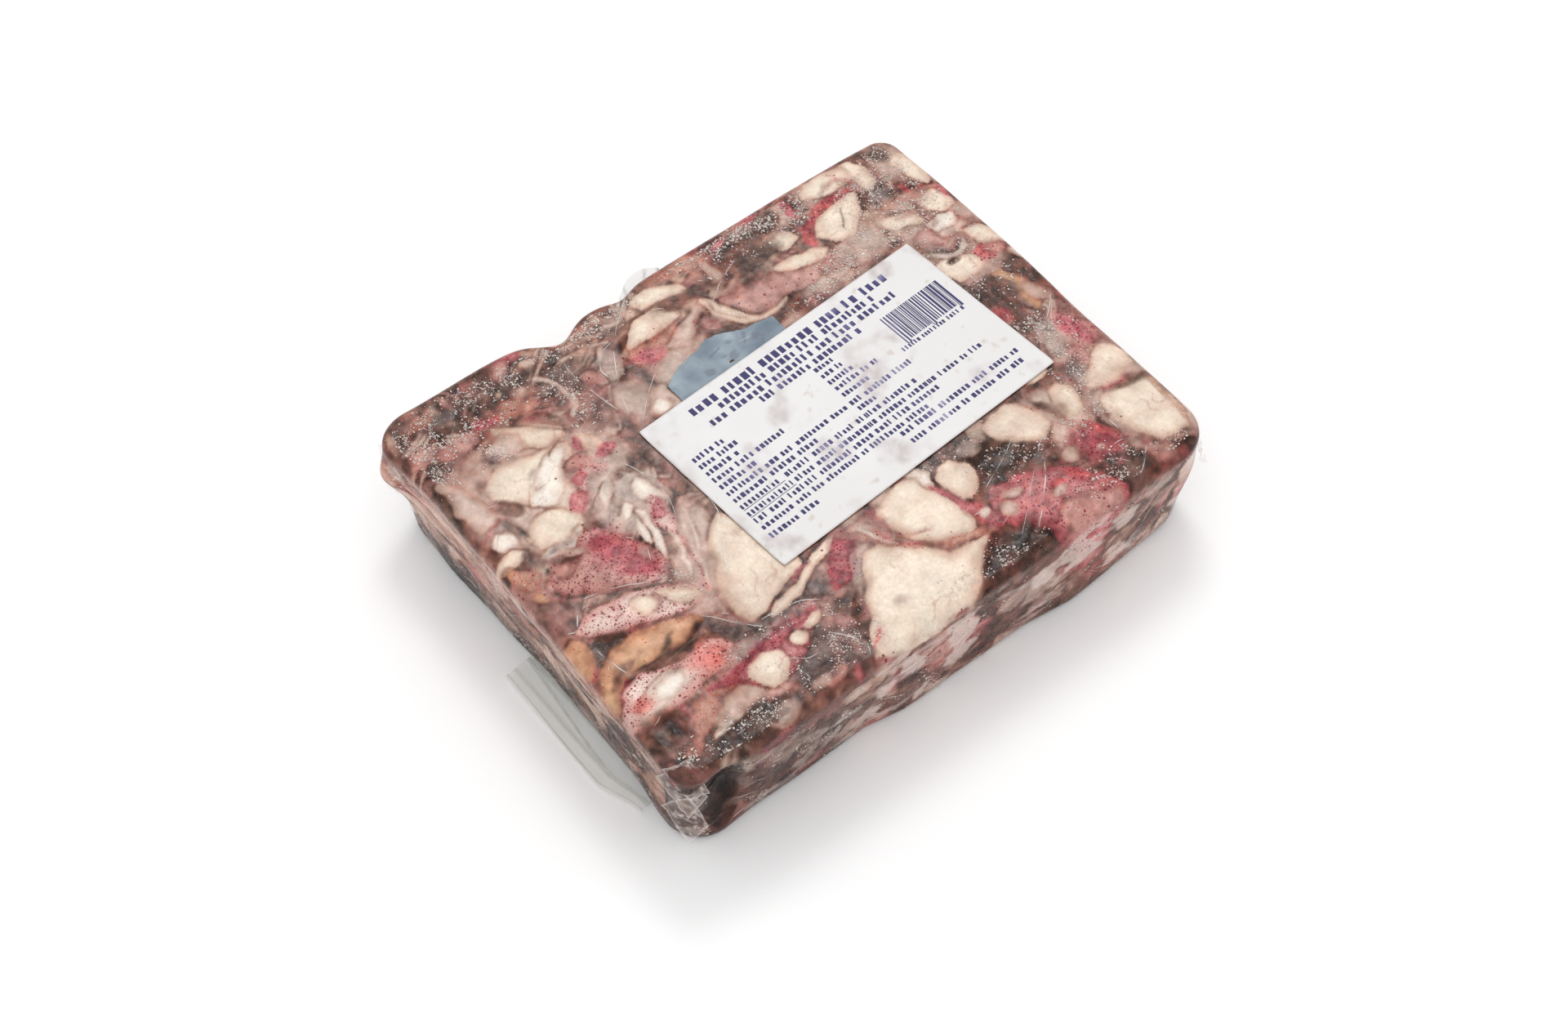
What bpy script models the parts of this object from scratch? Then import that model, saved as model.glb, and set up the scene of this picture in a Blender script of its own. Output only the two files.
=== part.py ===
"""A film-wrapped frozen block of small whole squid, lying flat on a table.

The block keeps the form of the tray that it froze in: a flat top with low swells
where squid press against the film, walls that lean in towards the bottom, and
rounded corners that differ from each other. A paper label lies on the film, a
small blue tag lies under the film in a shallow hollow, and two ends of the
film stick out, one on the table at the left side and one behind.

Units are metres, +Z is up and X runs along the long side. The origin is under the
middle of the block, on the surface that it rests on. The lists of hand-placed
forms are in millimetres, because that is how they were measured.
"""

import bmesh
import bpy
import numpy as np
from mathutils import Vector, noise
from mathutils.bvhtree import BVHTree

MM = 0.001

# Block
LENGTH = 0.182
WIDTH = 0.1445
HEIGHT = 0.037
TOP_ROUND = 0.005
BOTTOM_ROUND = 0.003
SIDE_DRAFT = 0.003
CORNER_RADIUS = {(-1, -1): 0.010, (1, -1): 0.012, (-1, 1): 0.0105, (1, 1): 0.007}
GRID_STEP = 0.0045
CORNER_STEPS = (0.001, 0.0025, 0.0045)
WALL_STEPS = 6
WALL_RIPPLE = 0.0006
RIPPLE_SCALE = 45.0

# How far the foot of a wall stands back from the top edge: place along it, inset, in mm
FRONT_FOOT = ((-91, 2.2), (-78, 3.0), (-32, 3.0), (-20, 1.0), (22, 1.0), (40, -0.8), (55, 0.0), (88, 3.5))
LEFT_FOOT = ((-72, 2.5), (0, 2.5), (20, 1.6), (45, 0.4), (60, 1.0), (72, 2.0))

# Slow waves of the whole top, which the label follows
SAG = 0.0002
SAG_LENGTH = 0.09

# Label
LABEL_CENTRE = (0.01824, 0.00009)
LABEL_LENGTH = 0.1021
LABEL_WIDTH = 0.0598
LABEL_TURN = np.radians(3.98)
LABEL_THICKNESS = 0.0003
LABEL_STEP = 0.006

# Tag under the film
TAG_THICKNESS = 0.0003
TAG_HOLLOW = 0.0009
TAG_OUTLINE = (
    (-19, 22), (-18.3, 29), (-18.5, 35), (-12, 38.6), (-5, 40), (0, 42), (5, 41),
    (10, 38.4), (20, 37), (20.5, 24),
)

# Film ends
FILM_THICKNESS = 0.0003
TAIL_FRONT_Y = (-0.0500, 0.0070)
TAIL_BACK_X = (-0.0090, 0.0060)
GAP = 0.0004

# Squid and ice that swell or sink in the top: centre x, centre y, half length,
# half width, heading in degrees, rise. All in mm except the heading.
TOP_FORMS = (
    (-64, 25, 19, 12, 110, 0.9),
    (-59, 47, 13, 6, -38, 0.7),
    (-86, 34, 14, 5, 100, 0.6),
    (-39, -26, 18, 9, 62, 0.8),
    (-4, -58, 25, 13, 12, 1.0),
    (14, -43, 16, 11, 20, 0.8),
    (49, -37, 11, 9, -60, 0.7),
    (66, -37, 8, 4, 80, 0.6),
    (80, -57, 15, 8, 100, 0.9),
    (81, -33, 9, 6, 20, 0.7),
    (43, -62, 18, 12, -20, 0.9),
    (60, 53, 13, 7, 50, 0.7),
    (-67, -21, 18, 7, -15, 0.7),
    (-74, -32, 18, 6, 6, 0.8),
    (-73, -44, 18, 6, 14, 0.8),
    (-52, -55, 13, 6, 4, 0.7),
    (-66, -4, 14, 9, -20, 0.8),
    (-12, 55, 10, 5, 15, 0.7),
    (36, -40, 10, 6, -20, -0.8),
    (16, -66, 14, 6, 20, -0.7),
    (-40, 54, 9, 7, 0, -0.6),
    (-82, 62, 9, 6, 0, -0.5),
    (54, -58, 8, 5, -40, -0.6),
)

# Swells and dents of the walls: centre x, y, z, reach along the wall, reach in
# height, push along x, push along y. All in mm.
WALL_FORMS = (
    (-89, -60, 4, 11, 8, -2.0, -0.2),
    (-80, -68, 3, 7, 7, 0.4, -1.0),
    (-80, -72, 22, 6, 12, 0.8, 5.0),
    (-90, -70, 26, 5, 8, -0.8, -0.6),
    (-90, 66, 25, 6, 6, -4.0, 0.8),
    (-88, 68, 37, 13, 14, -2.2, 1.8),
    (-33, 72, 37, 7, 60, 0.0, -5.2),
    (-10, 72, 37, 5, 60, 0.0, -2.0),
    (-60, 72, 30, 24, 40, 0.0, 2.6),
    (60, 72, 37, 40, 40, 0.4, 1.2),
    (91, 30, 37, 34, 14, 0.9, 0.0),
    (90, -20, 20, 18, 14, 0.7, 0.0),
    (89, -64, 20, 12, 9, 1.8, -1.0),
    (90, 40, 18, 16, 12, 0.6, 0.0),
    (30, 72, 18, 22, 12, 0.0, 0.8),
)

half_length = LENGTH / 2
half_width = WIDTH / 2


def smoothstep(value):
    """Runs smoothly from 0 to 1 as the value does."""
    value = np.clip(value, 0.0, 1.0)
    return value * value * (3.0 - 2.0 * value)


def label_frame(x, y):
    """A point's place along and across the label, from the label's centre."""
    dx = x - LABEL_CENTRE[0]
    dy = y - LABEL_CENTRE[1]
    along = dx * np.cos(LABEL_TURN) + dy * np.sin(LABEL_TURN)
    across = dy * np.cos(LABEL_TURN) - dx * np.sin(LABEL_TURN)
    return along, across


def inside_weight(x, y, centre, half, reach):
    """1 inside a box, falling to 0 over the given reach around it."""
    outside = max(abs(x - centre[0]) - half[0], abs(y - centre[1]) - half[1], 0.0)
    return 1.0 - smoothstep(outside / reach)


def sag(x, y):
    """The slow wave of the top."""
    turn = 2.0 * np.pi / SAG_LENGTH
    return SAG * np.sin(turn * x + 0.6) * np.cos(turn * y * 0.8)


def top_relief(x, y):
    """How far the top stands above its mean height."""
    rise = 0.0
    for cx, cy, half_long, half_wide, heading, height in TOP_FORMS:
        turn = np.radians(heading)
        dx = x / MM - cx
        dy = y / MM - cy
        along = (dx * np.cos(turn) + dy * np.sin(turn)) / half_long
        across = (dy * np.cos(turn) - dx * np.sin(turn)) / half_wide
        fill = 1.0 - along * along - across * across
        if fill > 0.0:
            rise += height * MM * fill * (2.0 - fill)
    along, across = label_frame(x, y)
    label_margin = 0.005
    under_label = inside_weight(
        along, across, (0.0, 0.0),
        (LABEL_LENGTH / 2 + label_margin, LABEL_WIDTH / 2 + label_margin), 0.006,
    )
    under_tag = inside_weight(x, y, (0.001, 0.0325), (0.024, 0.0145), 0.006)
    rise *= 1.0 - max(under_label, under_tag)
    return rise + sag(x, y) - TAG_HOLLOW * under_tag


def stations(half):
    """Grid lines of the top, with extra ones near the two corners."""
    inner = half - TOP_ROUND
    steps = np.array(CORNER_STEPS)
    first = -inner + steps[-1]
    count = int(round((2.0 * -first) / GRID_STEP))
    middle = np.linspace(first, -first, count + 1)
    low = -inner + np.concatenate(([0.0], steps[:-1]))
    return np.concatenate((low, middle, -low[::-1]))


def ring_point(x, y, inset):
    """A point of the inner rectangle's edge, moved out to the outline less an inset."""
    radius = CORNER_RADIUS[(1 if x > 0 else -1, 1 if y > 0 else -1)]
    core_x = half_length - radius
    core_y = half_width - radius
    base_x = min(max(x, -core_x), core_x)
    base_y = min(max(y, -core_y), core_y)
    dx = x - base_x
    dy = y - base_y
    size = np.hypot(dx, dy)
    reach = max(abs(dx), abs(dy))
    if inset is None:
        length = reach
    else:
        length = radius - inset
    if size == 0.0:
        return x, y
    return base_x + dx / size * length, base_y + dy / size * length


def foot_inset(rows, place):
    """How far a wall's foot stands back at a place along it."""
    return MM * np.interp(place / MM, [row[0] for row in rows], [row[1] for row in rows])


def push_walls(x, y, z):
    """Moves a point of the straight-walled block to its place on the real form."""
    low = 1.0 - z / HEIGHT
    inset_x = foot_inset(LEFT_FOOT, y) if x < 0 else SIDE_DRAFT
    inset_y = foot_inset(FRONT_FOOT, x) if y < 0 else SIDE_DRAFT
    new_x = x * (1.0 - inset_x * low / half_length)
    new_y = y * (1.0 - inset_y * low / half_width)
    for cx, cy, cz, reach, reach_z, push_x, push_y in WALL_FORMS:
        dx = x / MM - cx
        dy = y / MM - cy
        dz = z / MM - cz
        weight = np.exp(-(dx * dx + dy * dy) / (reach * reach) - dz * dz / (reach_z * reach_z))
        new_x += push_x * MM * weight
        new_y += push_y * MM * weight
    edge = min(half_length - abs(x), half_width - abs(y))
    near_wall = 1.0 - smoothstep(edge / 0.012)
    ripple = WALL_RIPPLE * near_wall
    new_x += ripple * noise.noise(Vector((x, y, z)) * RIPPLE_SCALE)
    new_y += ripple * noise.noise(Vector((y, z, x)) * RIPPLE_SCALE + Vector((7.0, 3.0, 1.0)))
    return new_x, new_y


def finished_point(x, y, z):
    """The place of a point of the straight-walled block on the finished form."""
    new_x, new_y = push_walls(x, y, z)
    on_top = smoothstep((z - (HEIGHT - TOP_ROUND)) / TOP_ROUND)
    return new_x, new_y, z + top_relief(x, y) * on_top


def wall_profile():
    """Inset from the outline and height, from the flat bottom up to the flat top."""
    profile = []
    for turn in np.radians((0.0, 45.0)):
        profile.append((BOTTOM_ROUND * (1 - np.sin(turn)), BOTTOM_ROUND * (1 - np.cos(turn))))
    for height in np.linspace(BOTTOM_ROUND, HEIGHT - TOP_ROUND, WALL_STEPS + 1):
        profile.append((0.0, height))
    for turn in np.radians((30.0, 60.0)):
        inset = TOP_ROUND * (1 - np.cos(turn))
        profile.append((inset, HEIGHT - TOP_ROUND + TOP_ROUND * np.sin(turn)))
    return profile


def add_object(name, points, faces, look):
    """A mesh object with its own material, shaded smooth."""
    mesh = bpy.data.meshes.new(name)
    mesh.from_pydata([tuple(point) for point in points], [], faces)
    work = bmesh.new()
    work.from_mesh(mesh)
    bmesh.ops.recalc_face_normals(work, faces=work.faces)
    work.to_mesh(mesh)
    work.free()
    mesh.shade_smooth()
    mesh.materials.append(look)
    thing = bpy.data.objects.new(name, mesh)
    bpy.context.scene.collection.objects.link(thing)
    return thing


def material(name, colour, roughness, alpha=1.0):
    """A Principled material with one colour."""
    look = bpy.data.materials.new(name)
    look.use_nodes = True
    shader = look.node_tree.nodes["Principled BSDF"]
    shader.inputs["Base Color"].default_value = (*colour, 1.0)
    shader.inputs["Roughness"].default_value = roughness
    shader.inputs["Alpha"].default_value = alpha
    return look


def build_block():
    """The frozen block in its film: a top grid, rings down the wall, one flat bottom."""
    xs = stations(half_length)
    ys = stations(half_width)
    nx = len(xs)
    ny = len(ys)
    points = []
    top = {}
    for i, x in enumerate(xs):
        for j, y in enumerate(ys):
            px, py = ring_point(x, y, None)
            top[i, j] = len(points)
            points.append(finished_point(px, py, HEIGHT))
    faces = []
    for i in range(nx - 1):
        for j in range(ny - 1):
            faces.append((top[i, j], top[i + 1, j], top[i + 1, j + 1], top[i, j + 1]))
    loop = [(i, 0) for i in range(nx - 1)]
    loop += [(nx - 1, j) for j in range(ny - 1)]
    loop += [(i, ny - 1) for i in range(nx - 1, 0, -1)]
    loop += [(0, j) for j in range(ny - 1, 0, -1)]
    rings = []
    for inset, height in wall_profile():
        ring = []
        for i, j in loop:
            px, py = ring_point(xs[i], ys[j], inset)
            ring.append(len(points))
            points.append(finished_point(px, py, height))
        rings.append(ring)
    rings.append([top[spot] for spot in loop])
    count = len(loop)
    for lower, upper in zip(rings, rings[1:]):
        for k in range(count):
            after = (k + 1) % count
            faces.append((lower[k], lower[after], upper[after], upper[k]))
    faces.append(tuple(reversed(rings[0])))
    look = material("frozen_squid", (0.36, 0.20, 0.17), 0.35)
    return add_object("frozen_block", points, faces, look)


def build_sheet(name, columns, rows, place, offset, look):
    """A thin closed sheet: place(u, v) gives one side, u and v from 0 to 1."""
    points = []
    for side in (0.0, 1.0):
        for i in range(columns + 1):
            for j in range(rows + 1):
                points.append(Vector(place(i / columns, j / rows)) + Vector(offset) * side)
    layer = (columns + 1) * (rows + 1)

    def index(i, j):
        return i * (rows + 1) + j

    faces = []
    for i in range(columns):
        for j in range(rows):
            lower = (index(i, j), index(i, j + 1), index(i + 1, j + 1), index(i + 1, j))
            faces.append(lower)
            faces.append(tuple(layer + corner for corner in reversed(lower)))
    rim = [index(i, 0) for i in range(columns)]
    rim += [index(columns, j) for j in range(rows)]
    rim += [index(i, rows) for i in range(columns, 0, -1)]
    rim += [index(0, j) for j in range(rows, 0, -1)]
    for k, corner in enumerate(rim):
        after = rim[(k + 1) % len(rim)]
        faces.append((corner, after, layer + after, layer + corner))
    return add_object(name, points, faces, look)


def build_label():
    """The paper label, flat on the film and bending with it."""
    def place(u, v):
        along = (u - 0.5) * LABEL_LENGTH
        across = (v - 0.5) * LABEL_WIDTH
        x = LABEL_CENTRE[0] + along * np.cos(LABEL_TURN) - across * np.sin(LABEL_TURN)
        y = LABEL_CENTRE[1] + along * np.sin(LABEL_TURN) + across * np.cos(LABEL_TURN)
        return x, y, HEIGHT + sag(x, y) + GAP

    columns = int(round(LABEL_LENGTH / LABEL_STEP))
    rows = int(round(LABEL_WIDTH / LABEL_STEP))
    look = material("label_paper", (0.90, 0.88, 0.86), 0.6)
    return build_sheet("label", columns, rows, place, (0, 0, LABEL_THICKNESS), look)


def build_tag():
    """The torn blue tag in its hollow under the film."""
    base = HEIGHT - TAG_HOLLOW + SAG + GAP
    count = len(TAG_OUTLINE)
    points = [(x * MM, y * MM, base) for x, y in TAG_OUTLINE]
    points += [(x * MM, y * MM, base + TAG_THICKNESS) for x, y in TAG_OUTLINE]
    order = list(range(count))
    faces = [tuple(order), tuple(count + k for k in reversed(order))]
    for k in order:
        after = (k + 1) % count
        faces.append((after, k, count + k, count + after))
    look = material("tag_paper", (0.29, 0.36, 0.43), 0.6)
    return add_object("blue_tag", points, faces, look)


def wall_finder(block):
    """A function that finds where a level ray meets the block's wall."""
    mesh = block.data
    tree = BVHTree.FromPolygons(
        [vertex.co for vertex in mesh.vertices],
        [tuple(polygon.vertices) for polygon in mesh.polygons],
    )

    def find(start, direction):
        return tree.ray_cast(Vector(start), Vector(direction))[0]

    return find


def build_tail_front(find, look):
    """The film end that lies on the table at the left side."""
    low, high = TAIL_FRONT_Y
    far = 0.0980

    def place(u, v):
        y = low + (high - low) * u
        wall = min(find((-0.2, y, z), (1, 0, 0)).x for z in (0.0008, 0.0016, 0.0024, 0.0034))
        outer = -far + 0.0045 * smoothstep(1.0 - u / 0.28)
        inner = wall - GAP
        x = inner + (outer - inner) * v
        wave = 0.0008 * (0.5 + 0.5 * np.sin(14.0 * u)) + 0.0010 * v * (0.5 + 0.5 * np.cos(9.0 * u))
        return x, y - 0.002 * v, 0.0001 + wave

    return build_sheet("film_tail_front", 14, 4, place, (0, 0, FILM_THICKNESS), look)


def build_tail_back(find, look):
    """The film end that stands out behind, just under the top edge."""
    low, high = TAIL_BACK_X
    top_z = 0.0325
    drop = 0.017

    def place(u, v):
        x = low + (high - low) * u
        z = top_z - drop * v + 0.001 * np.sin(3.0 * u)
        wall = find((x, 0.2, z), (0, -1, 0)).y
        flare = 0.0024 * np.sin(np.pi * u) ** 0.7 * (1.0 - 0.55 * v)
        return x, wall + GAP * 2.5 + flare, z

    return build_sheet("film_tail_back", 10, 6, place, (0, FILM_THICKNESS, 0), look)


def main():
    for thing in list(bpy.data.objects):
        bpy.data.objects.remove(thing)
    block = build_block()
    build_label()
    build_tag()
    find = wall_finder(block)
    build_tail_front(find, material("clear_film_front", (0.80, 0.82, 0.82), 0.15, 0.5))
    build_tail_back(find, material("clear_film_back", (0.80, 0.82, 0.82), 0.15, 0.5))


main()
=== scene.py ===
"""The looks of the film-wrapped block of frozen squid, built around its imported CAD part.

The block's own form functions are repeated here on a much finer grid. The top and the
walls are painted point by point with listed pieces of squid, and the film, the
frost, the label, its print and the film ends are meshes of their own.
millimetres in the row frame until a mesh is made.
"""

import itertools
from collections import namedtuple

import bpy
import numpy as np
from mathutils import Matrix, Vector, noise


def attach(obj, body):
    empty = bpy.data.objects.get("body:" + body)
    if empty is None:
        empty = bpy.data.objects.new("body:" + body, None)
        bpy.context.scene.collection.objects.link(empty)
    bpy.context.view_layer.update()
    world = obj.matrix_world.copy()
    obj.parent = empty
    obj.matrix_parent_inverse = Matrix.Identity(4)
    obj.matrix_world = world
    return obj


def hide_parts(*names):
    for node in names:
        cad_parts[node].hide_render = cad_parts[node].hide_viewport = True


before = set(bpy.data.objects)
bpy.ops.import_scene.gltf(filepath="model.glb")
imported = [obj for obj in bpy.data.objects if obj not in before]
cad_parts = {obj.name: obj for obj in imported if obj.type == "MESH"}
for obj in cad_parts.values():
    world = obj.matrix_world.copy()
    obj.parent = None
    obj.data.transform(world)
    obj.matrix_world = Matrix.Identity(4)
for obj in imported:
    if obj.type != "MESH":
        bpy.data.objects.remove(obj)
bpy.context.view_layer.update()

MM = 0.001

# Block, label and the tag's hollow, as in the CAD part
HALF_LENGTH = 91.0
HALF_WIDTH = 72.25
HEIGHT = 37.0
TOP_ROUND = 3.4
BOTTOM_ROUND = 3.0
SIDE_DRAFT = 3.0
CORNER_RADIUS = {(-1, -1): 10.0, (1, -1): 12.0, (-1, 1): 10.5, (1, 1): 7.0}
RIPPLE = 0.6
RIPPLE_SCALE = 0.045
FRONT_FOOT = ((-91, 2.2), (-78, 3.0), (-32, 3.0), (-20, 1.0), (22, 1.0), (40, -0.8), (55, 0.0), (88, 3.5))
LEFT_FOOT = ((-72, 2.5), (0, 2.5), (20, 1.6), (45, 0.4), (60, 1.0), (72, 2.0))
SAG = 0.2
SAG_LENGTH = 90.0
LABEL_CENTRE = (18.24, 0.09)
LABEL_LENGTH = 102.1
LABEL_WIDTH = 59.8
LABEL_TURN = 3.98
LABEL_GAP = 0.45
LABEL_THICKNESS = 0.2
TAG_HOLLOW = 0.9

# Grid steps: top, walls and underside of the contents, then top and walls of the film
SKIN_STEP = 0.5
WALL_STEP = 0.62
BASE_STEP = 1.1
FILM_STEP = 0.8
FILM_WALL_STEP = 0.9

# How far the film lies off the top under the label, how much further elsewhere, and how far
# it lies off the top's edge, off the walls and under its own ridges
FILM_LIFT = 0.22
OPEN_LIFT = 0.20
EDGE_LIFT = 0.42
WALL_LIFT = 0.35
RIDGE_LIFT = 0.40

# How far in from the block's box the walls reach, and where a corner turns into a wall
WALL_REACH = 12.0
CORNER_REACH = 6.0

# Small pieces on the walls, short wrinkles on the top, and wrinkles on each wall: side,
# number, lowest and highest level
WALL_SCRAPS = 820
TOP_WRINKLES = 110
WALL_WRINKLES = (("left", 30, 8, 33), ("front", 24, 3, 33), ("right", 20, 5, 33), ("back", 20, 5, 33))

# Grains of frost: points tried and the share kept, on the top and on the walls
TOP_GRAINS = 340000
TOP_GRAINS_KEPT = 0.56
WALL_GRAINS = 9000
WALL_GRAINS_KEPT = 0.14

# Camera of the photo: angles in degrees, aim and distance in metres, lens in mm
AZIMUTH = -37.086
ELEVATION = 54.61
ROLL = -1.163
AIM = (-0.002731, 0.003114, 0.0)
DISTANCE = 0.680409
LENS = 54.224
SENSOR = 36.0

# Soft light: place and side in metres, power in watts
LAMP_SPOT = (0.46, 0.60, 1.2)
LAMP_SIZE = 0.4
LAMP_POWER = 4.4

# Swells and hollows of the top: centre, half length, half width, heading in degrees, rise
TOP_FORMS = (
    (-64, 25, 19, 12, 110, 0.9),
    (-59, 47, 13, 6, -38, 0.7),
    (-86, 34, 14, 5, 100, 0.6),
    (-39, -26, 18, 9, 62, 0.8),
    (-4, -58, 25, 13, 12, 1.0),
    (14, -43, 16, 11, 20, 0.8),
    (49, -37, 11, 9, -60, 0.7),
    (66, -37, 8, 4, 80, 0.6),
    (80, -57, 15, 8, 100, 0.9),
    (81, -33, 9, 6, 20, 0.7),
    (43, -62, 18, 12, -20, 0.9),
    (60, 53, 13, 7, 50, 0.7),
    (-67, -21, 18, 7, -15, 0.7),
    (-74, -32, 18, 6, 6, 0.8),
    (-73, -44, 18, 6, 14, 0.8),
    (-52, -55, 13, 6, 4, 0.7),
    (-66, -4, 14, 9, -20, 0.8),
    (-12, 55, 10, 5, 15, 0.7),
    (36, -40, 10, 6, -20, -0.8),
    (16, -66, 14, 6, 20, -0.7),
    (-40, 54, 9, 7, 0, -0.6),
    (-82, 62, 9, 6, 0, -0.5),
    (54, -58, 8, 5, -40, -0.6),
)

# Swells and dents of the walls: centre, reach along the wall and in height, push in x and y
WALL_FORMS = (
    (-89, -60, 4, 11, 8, -2.0, -0.2),
    (-80, -68, 3, 7, 7, 0.4, -1.0),
    (-80, -72, 22, 6, 12, 0.8, 5.0),
    (-90, -70, 26, 5, 8, -0.8, -0.6),
    (-90, 66, 25, 6, 6, -4.0, 0.8),
    (-88, 68, 37, 13, 14, -2.2, 1.8),
    (-33, 72, 37, 7, 60, 0.0, -5.2),
    (-10, 72, 37, 5, 60, 0.0, -2.0),
    (-60, 72, 30, 24, 40, 0.0, 2.6),
    (60, 72, 37, 40, 40, 0.4, 1.2),
    (91, 30, 37, 34, 14, 0.9, 0.0),
    (90, -20, 20, 18, 14, 0.7, 0.0),
    (89, -64, 20, 12, 9, 1.8, -1.0),
    (90, 40, 18, 16, 12, 0.6, 0.0),
    (30, 72, 18, 22, 12, 0.0, 0.8),
)

# Half the way round the walls, and how far the two ends of the wall painting blend there
BACK_RUN = 2.0 * (HALF_LENGTH + HALF_WIDTH)
SEAM_REACH = 9.0

# Share of a slow tone's colour that the ice keeps, and of the painted light that flesh gives back
ICE_DEPTH = 0.86
FLESH_GAIN = 0.86

# A look: colour inside and at the rim, rim width, softness of the edge, rise, share of
# wine-red dots, share of rust dots, frost and cover. A rim darker than the core is partly the
# flesh's own edge colour and partly painted shade that makes the piece look rounded
Look = namedtuple("Look", "core rim rim_width soft rise dots rust frost cover")
LOOKS = {
    "cream": Look((244, 228, 208), (206, 168, 148), 1.3, 0.5, 0.30, 0.0, 0.0, 0.0, 1.0),
    "ivory": Look((246, 236, 224), (206, 172, 156), 0.6, 0.4, 0.28, 0.0, 0.0, 0.0, 0.95),
    "pale": Look((226, 202, 188), (176, 134, 120), 1.3, 0.7, 0.20, 0.0, 0.0, 0.1, 0.9),
    "veil": Look((206, 186, 176), (164, 136, 127), 0.9, 0.8, 0.15, 0.0, 0.0, 0.1, 0.6),
    "blush": Look((202, 152, 142), (146, 96, 90), 1.0, 0.6, 0.20, 0.1, 0.0, 0.0, 0.85),
    "rose": Look((204, 128, 128), (158, 72, 80), 1.0, 0.6, 0.20, 0.6, 0.0, 0.0, 0.85),
    "scarlet": Look((196, 84, 84), (178, 92, 92), 0.9, 0.9, 0.10, 0.9, 0.0, 0.0, 0.8),
    "wine": Look((166, 92, 96), (126, 56, 62), 1.0, 0.7, 0.20, 1.0, 0.0, 0.0, 0.95),
    "freckled": Look((238, 212, 200), (206, 146, 138), 1.3, 0.5, 0.25, 0.62, 0.0, 0.0, 1.0),
    "skin": Look((202, 154, 144), (158, 108, 100), 1.2, 0.5, 0.30, 0.9, 0.0, 0.0, 1.0),
    "rusty": Look((188, 140, 124), (150, 100, 90), 1.0, 0.8, 0.15, 0.1, 0.7, 0.1, 0.85),
    "tan": Look((226, 176, 142), (176, 122, 98), 1.6, 0.6, 0.35, 0.0, 0.1, 0.0, 1.0),
    "brown": Look((100, 68, 58), (92, 62, 53), 1.2, 1.8, 0.0, 0.0, 0.0, 0.0, 0.85),
    "mauve": Look((134, 102, 95), (108, 78, 72), 1.2, 1.8, 0.0, 0.0, 0.0, 0.0, 0.75),
    "dark": Look((74, 50, 43), (84, 57, 49), 1.2, 1.4, -0.2, 0.0, 0.0, 0.0, 0.9),
    "flushed": Look((204, 92, 84), (216, 130, 120), 2.0, 2.4, 0.0, 0.8, 0.0, 0.0, 0.75),
    "crimson": Look((166, 74, 84), (188, 112, 112), 3.0, 3.4, 0.0, 1.0, 0.0, 0.0, 0.85),
    "misty": Look((212, 186, 172), (150, 108, 98), 1.8, 2.0, 0.20, 0.0, 0.0, 0.2, 0.9),
    # Near black; on the front wall it is also the painted shade of the corner's hollow
    "ink": Look((34, 27, 23), (66, 48, 40), 0.8, 1.0, 0.0, 0.0, 0.0, 0.0, 0.9),
    "grey": Look((150, 138, 136), (116, 98, 95), 1.0, 1.0, 0.1, 0.0, 0.0, 0.2, 0.8),
    "smoke": Look((116, 92, 84), (100, 74, 66), 1.0, 2.2, 0.0, 0.0, 0.0, 0.1, 0.75),
}

# Slow tones of the ice between the pieces: centre, half length, half width, heading, colour
TONES = (
    (-75, 64, 17, 8, 0, (126, 98, 92)),
    (-50, 62, 13, 3, 0, (90, 68, 62)),
    (-38, 48, 10, 18, -15, (154, 122, 112)),
    (-18, 41, 14, 6, 10, (88, 72, 68)),
    (-84, 54, 6, 8, 0, (108, 84, 80)),
    (-47, 44, 8, 9, 0, (160, 128, 118)),
    (-42, 18, 9, 10, 0, (122, 98, 90)),
    (-86, 8, 7, 9, 0, (152, 112, 98)),
    (25, 57, 17, 8, 5, (94, 68, 62)),
    (30, 67, 18, 5, 0, (86, 66, 62)),
    (25, 46, 16, 6, -8, (172, 130, 124)),
    (43, 37, 10, 6, 0, (182, 148, 140)),
    (57, 40, 9, 6, 0, (118, 94, 86)),
    (72, 53, 6, 6, 0, (138, 124, 122)),
    (83, 65, 6, 7, 0, (150, 130, 130)),
    (78, 8, 12, 8, 0, (92, 66, 58)),
    (78, 30, 12, 10, 0, (170, 138, 126)),
    (-86, -8, 8, 9, 0, (146, 112, 105)),
    (-78, -54, 18, 9, 0, (100, 72, 66)),
    (-74, -66, 24, 6, 0, (84, 62, 56)),
    (-40, -60, 16, 7, 10, (118, 98, 96)),
    (-44, -44, 14, 4, 0, (108, 84, 80)),
    (-30, -54, 7, 10, 0, (136, 98, 90)),
    (-10, -44, 9, 7, 0, (166, 126, 112)),
    (25, -31, 14, 4, 0, (94, 80, 76)),
    (36, -43, 10, 9, -20, (68, 52, 46)),
    (18, -66, 15, 9, 18, (70, 52, 46)),
    (60, -63, 13, 11, 0, (82, 58, 51)),
    (71, -36, 5, 11, 0, (128, 98, 90)),
    (78, -18, 10, 13, 0, (128, 92, 86)),
    (76, -6, 8, 7, 0, (104, 74, 68)),
    (-53, -10, 5, 12, 20, (112, 92, 86)),
)

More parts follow.
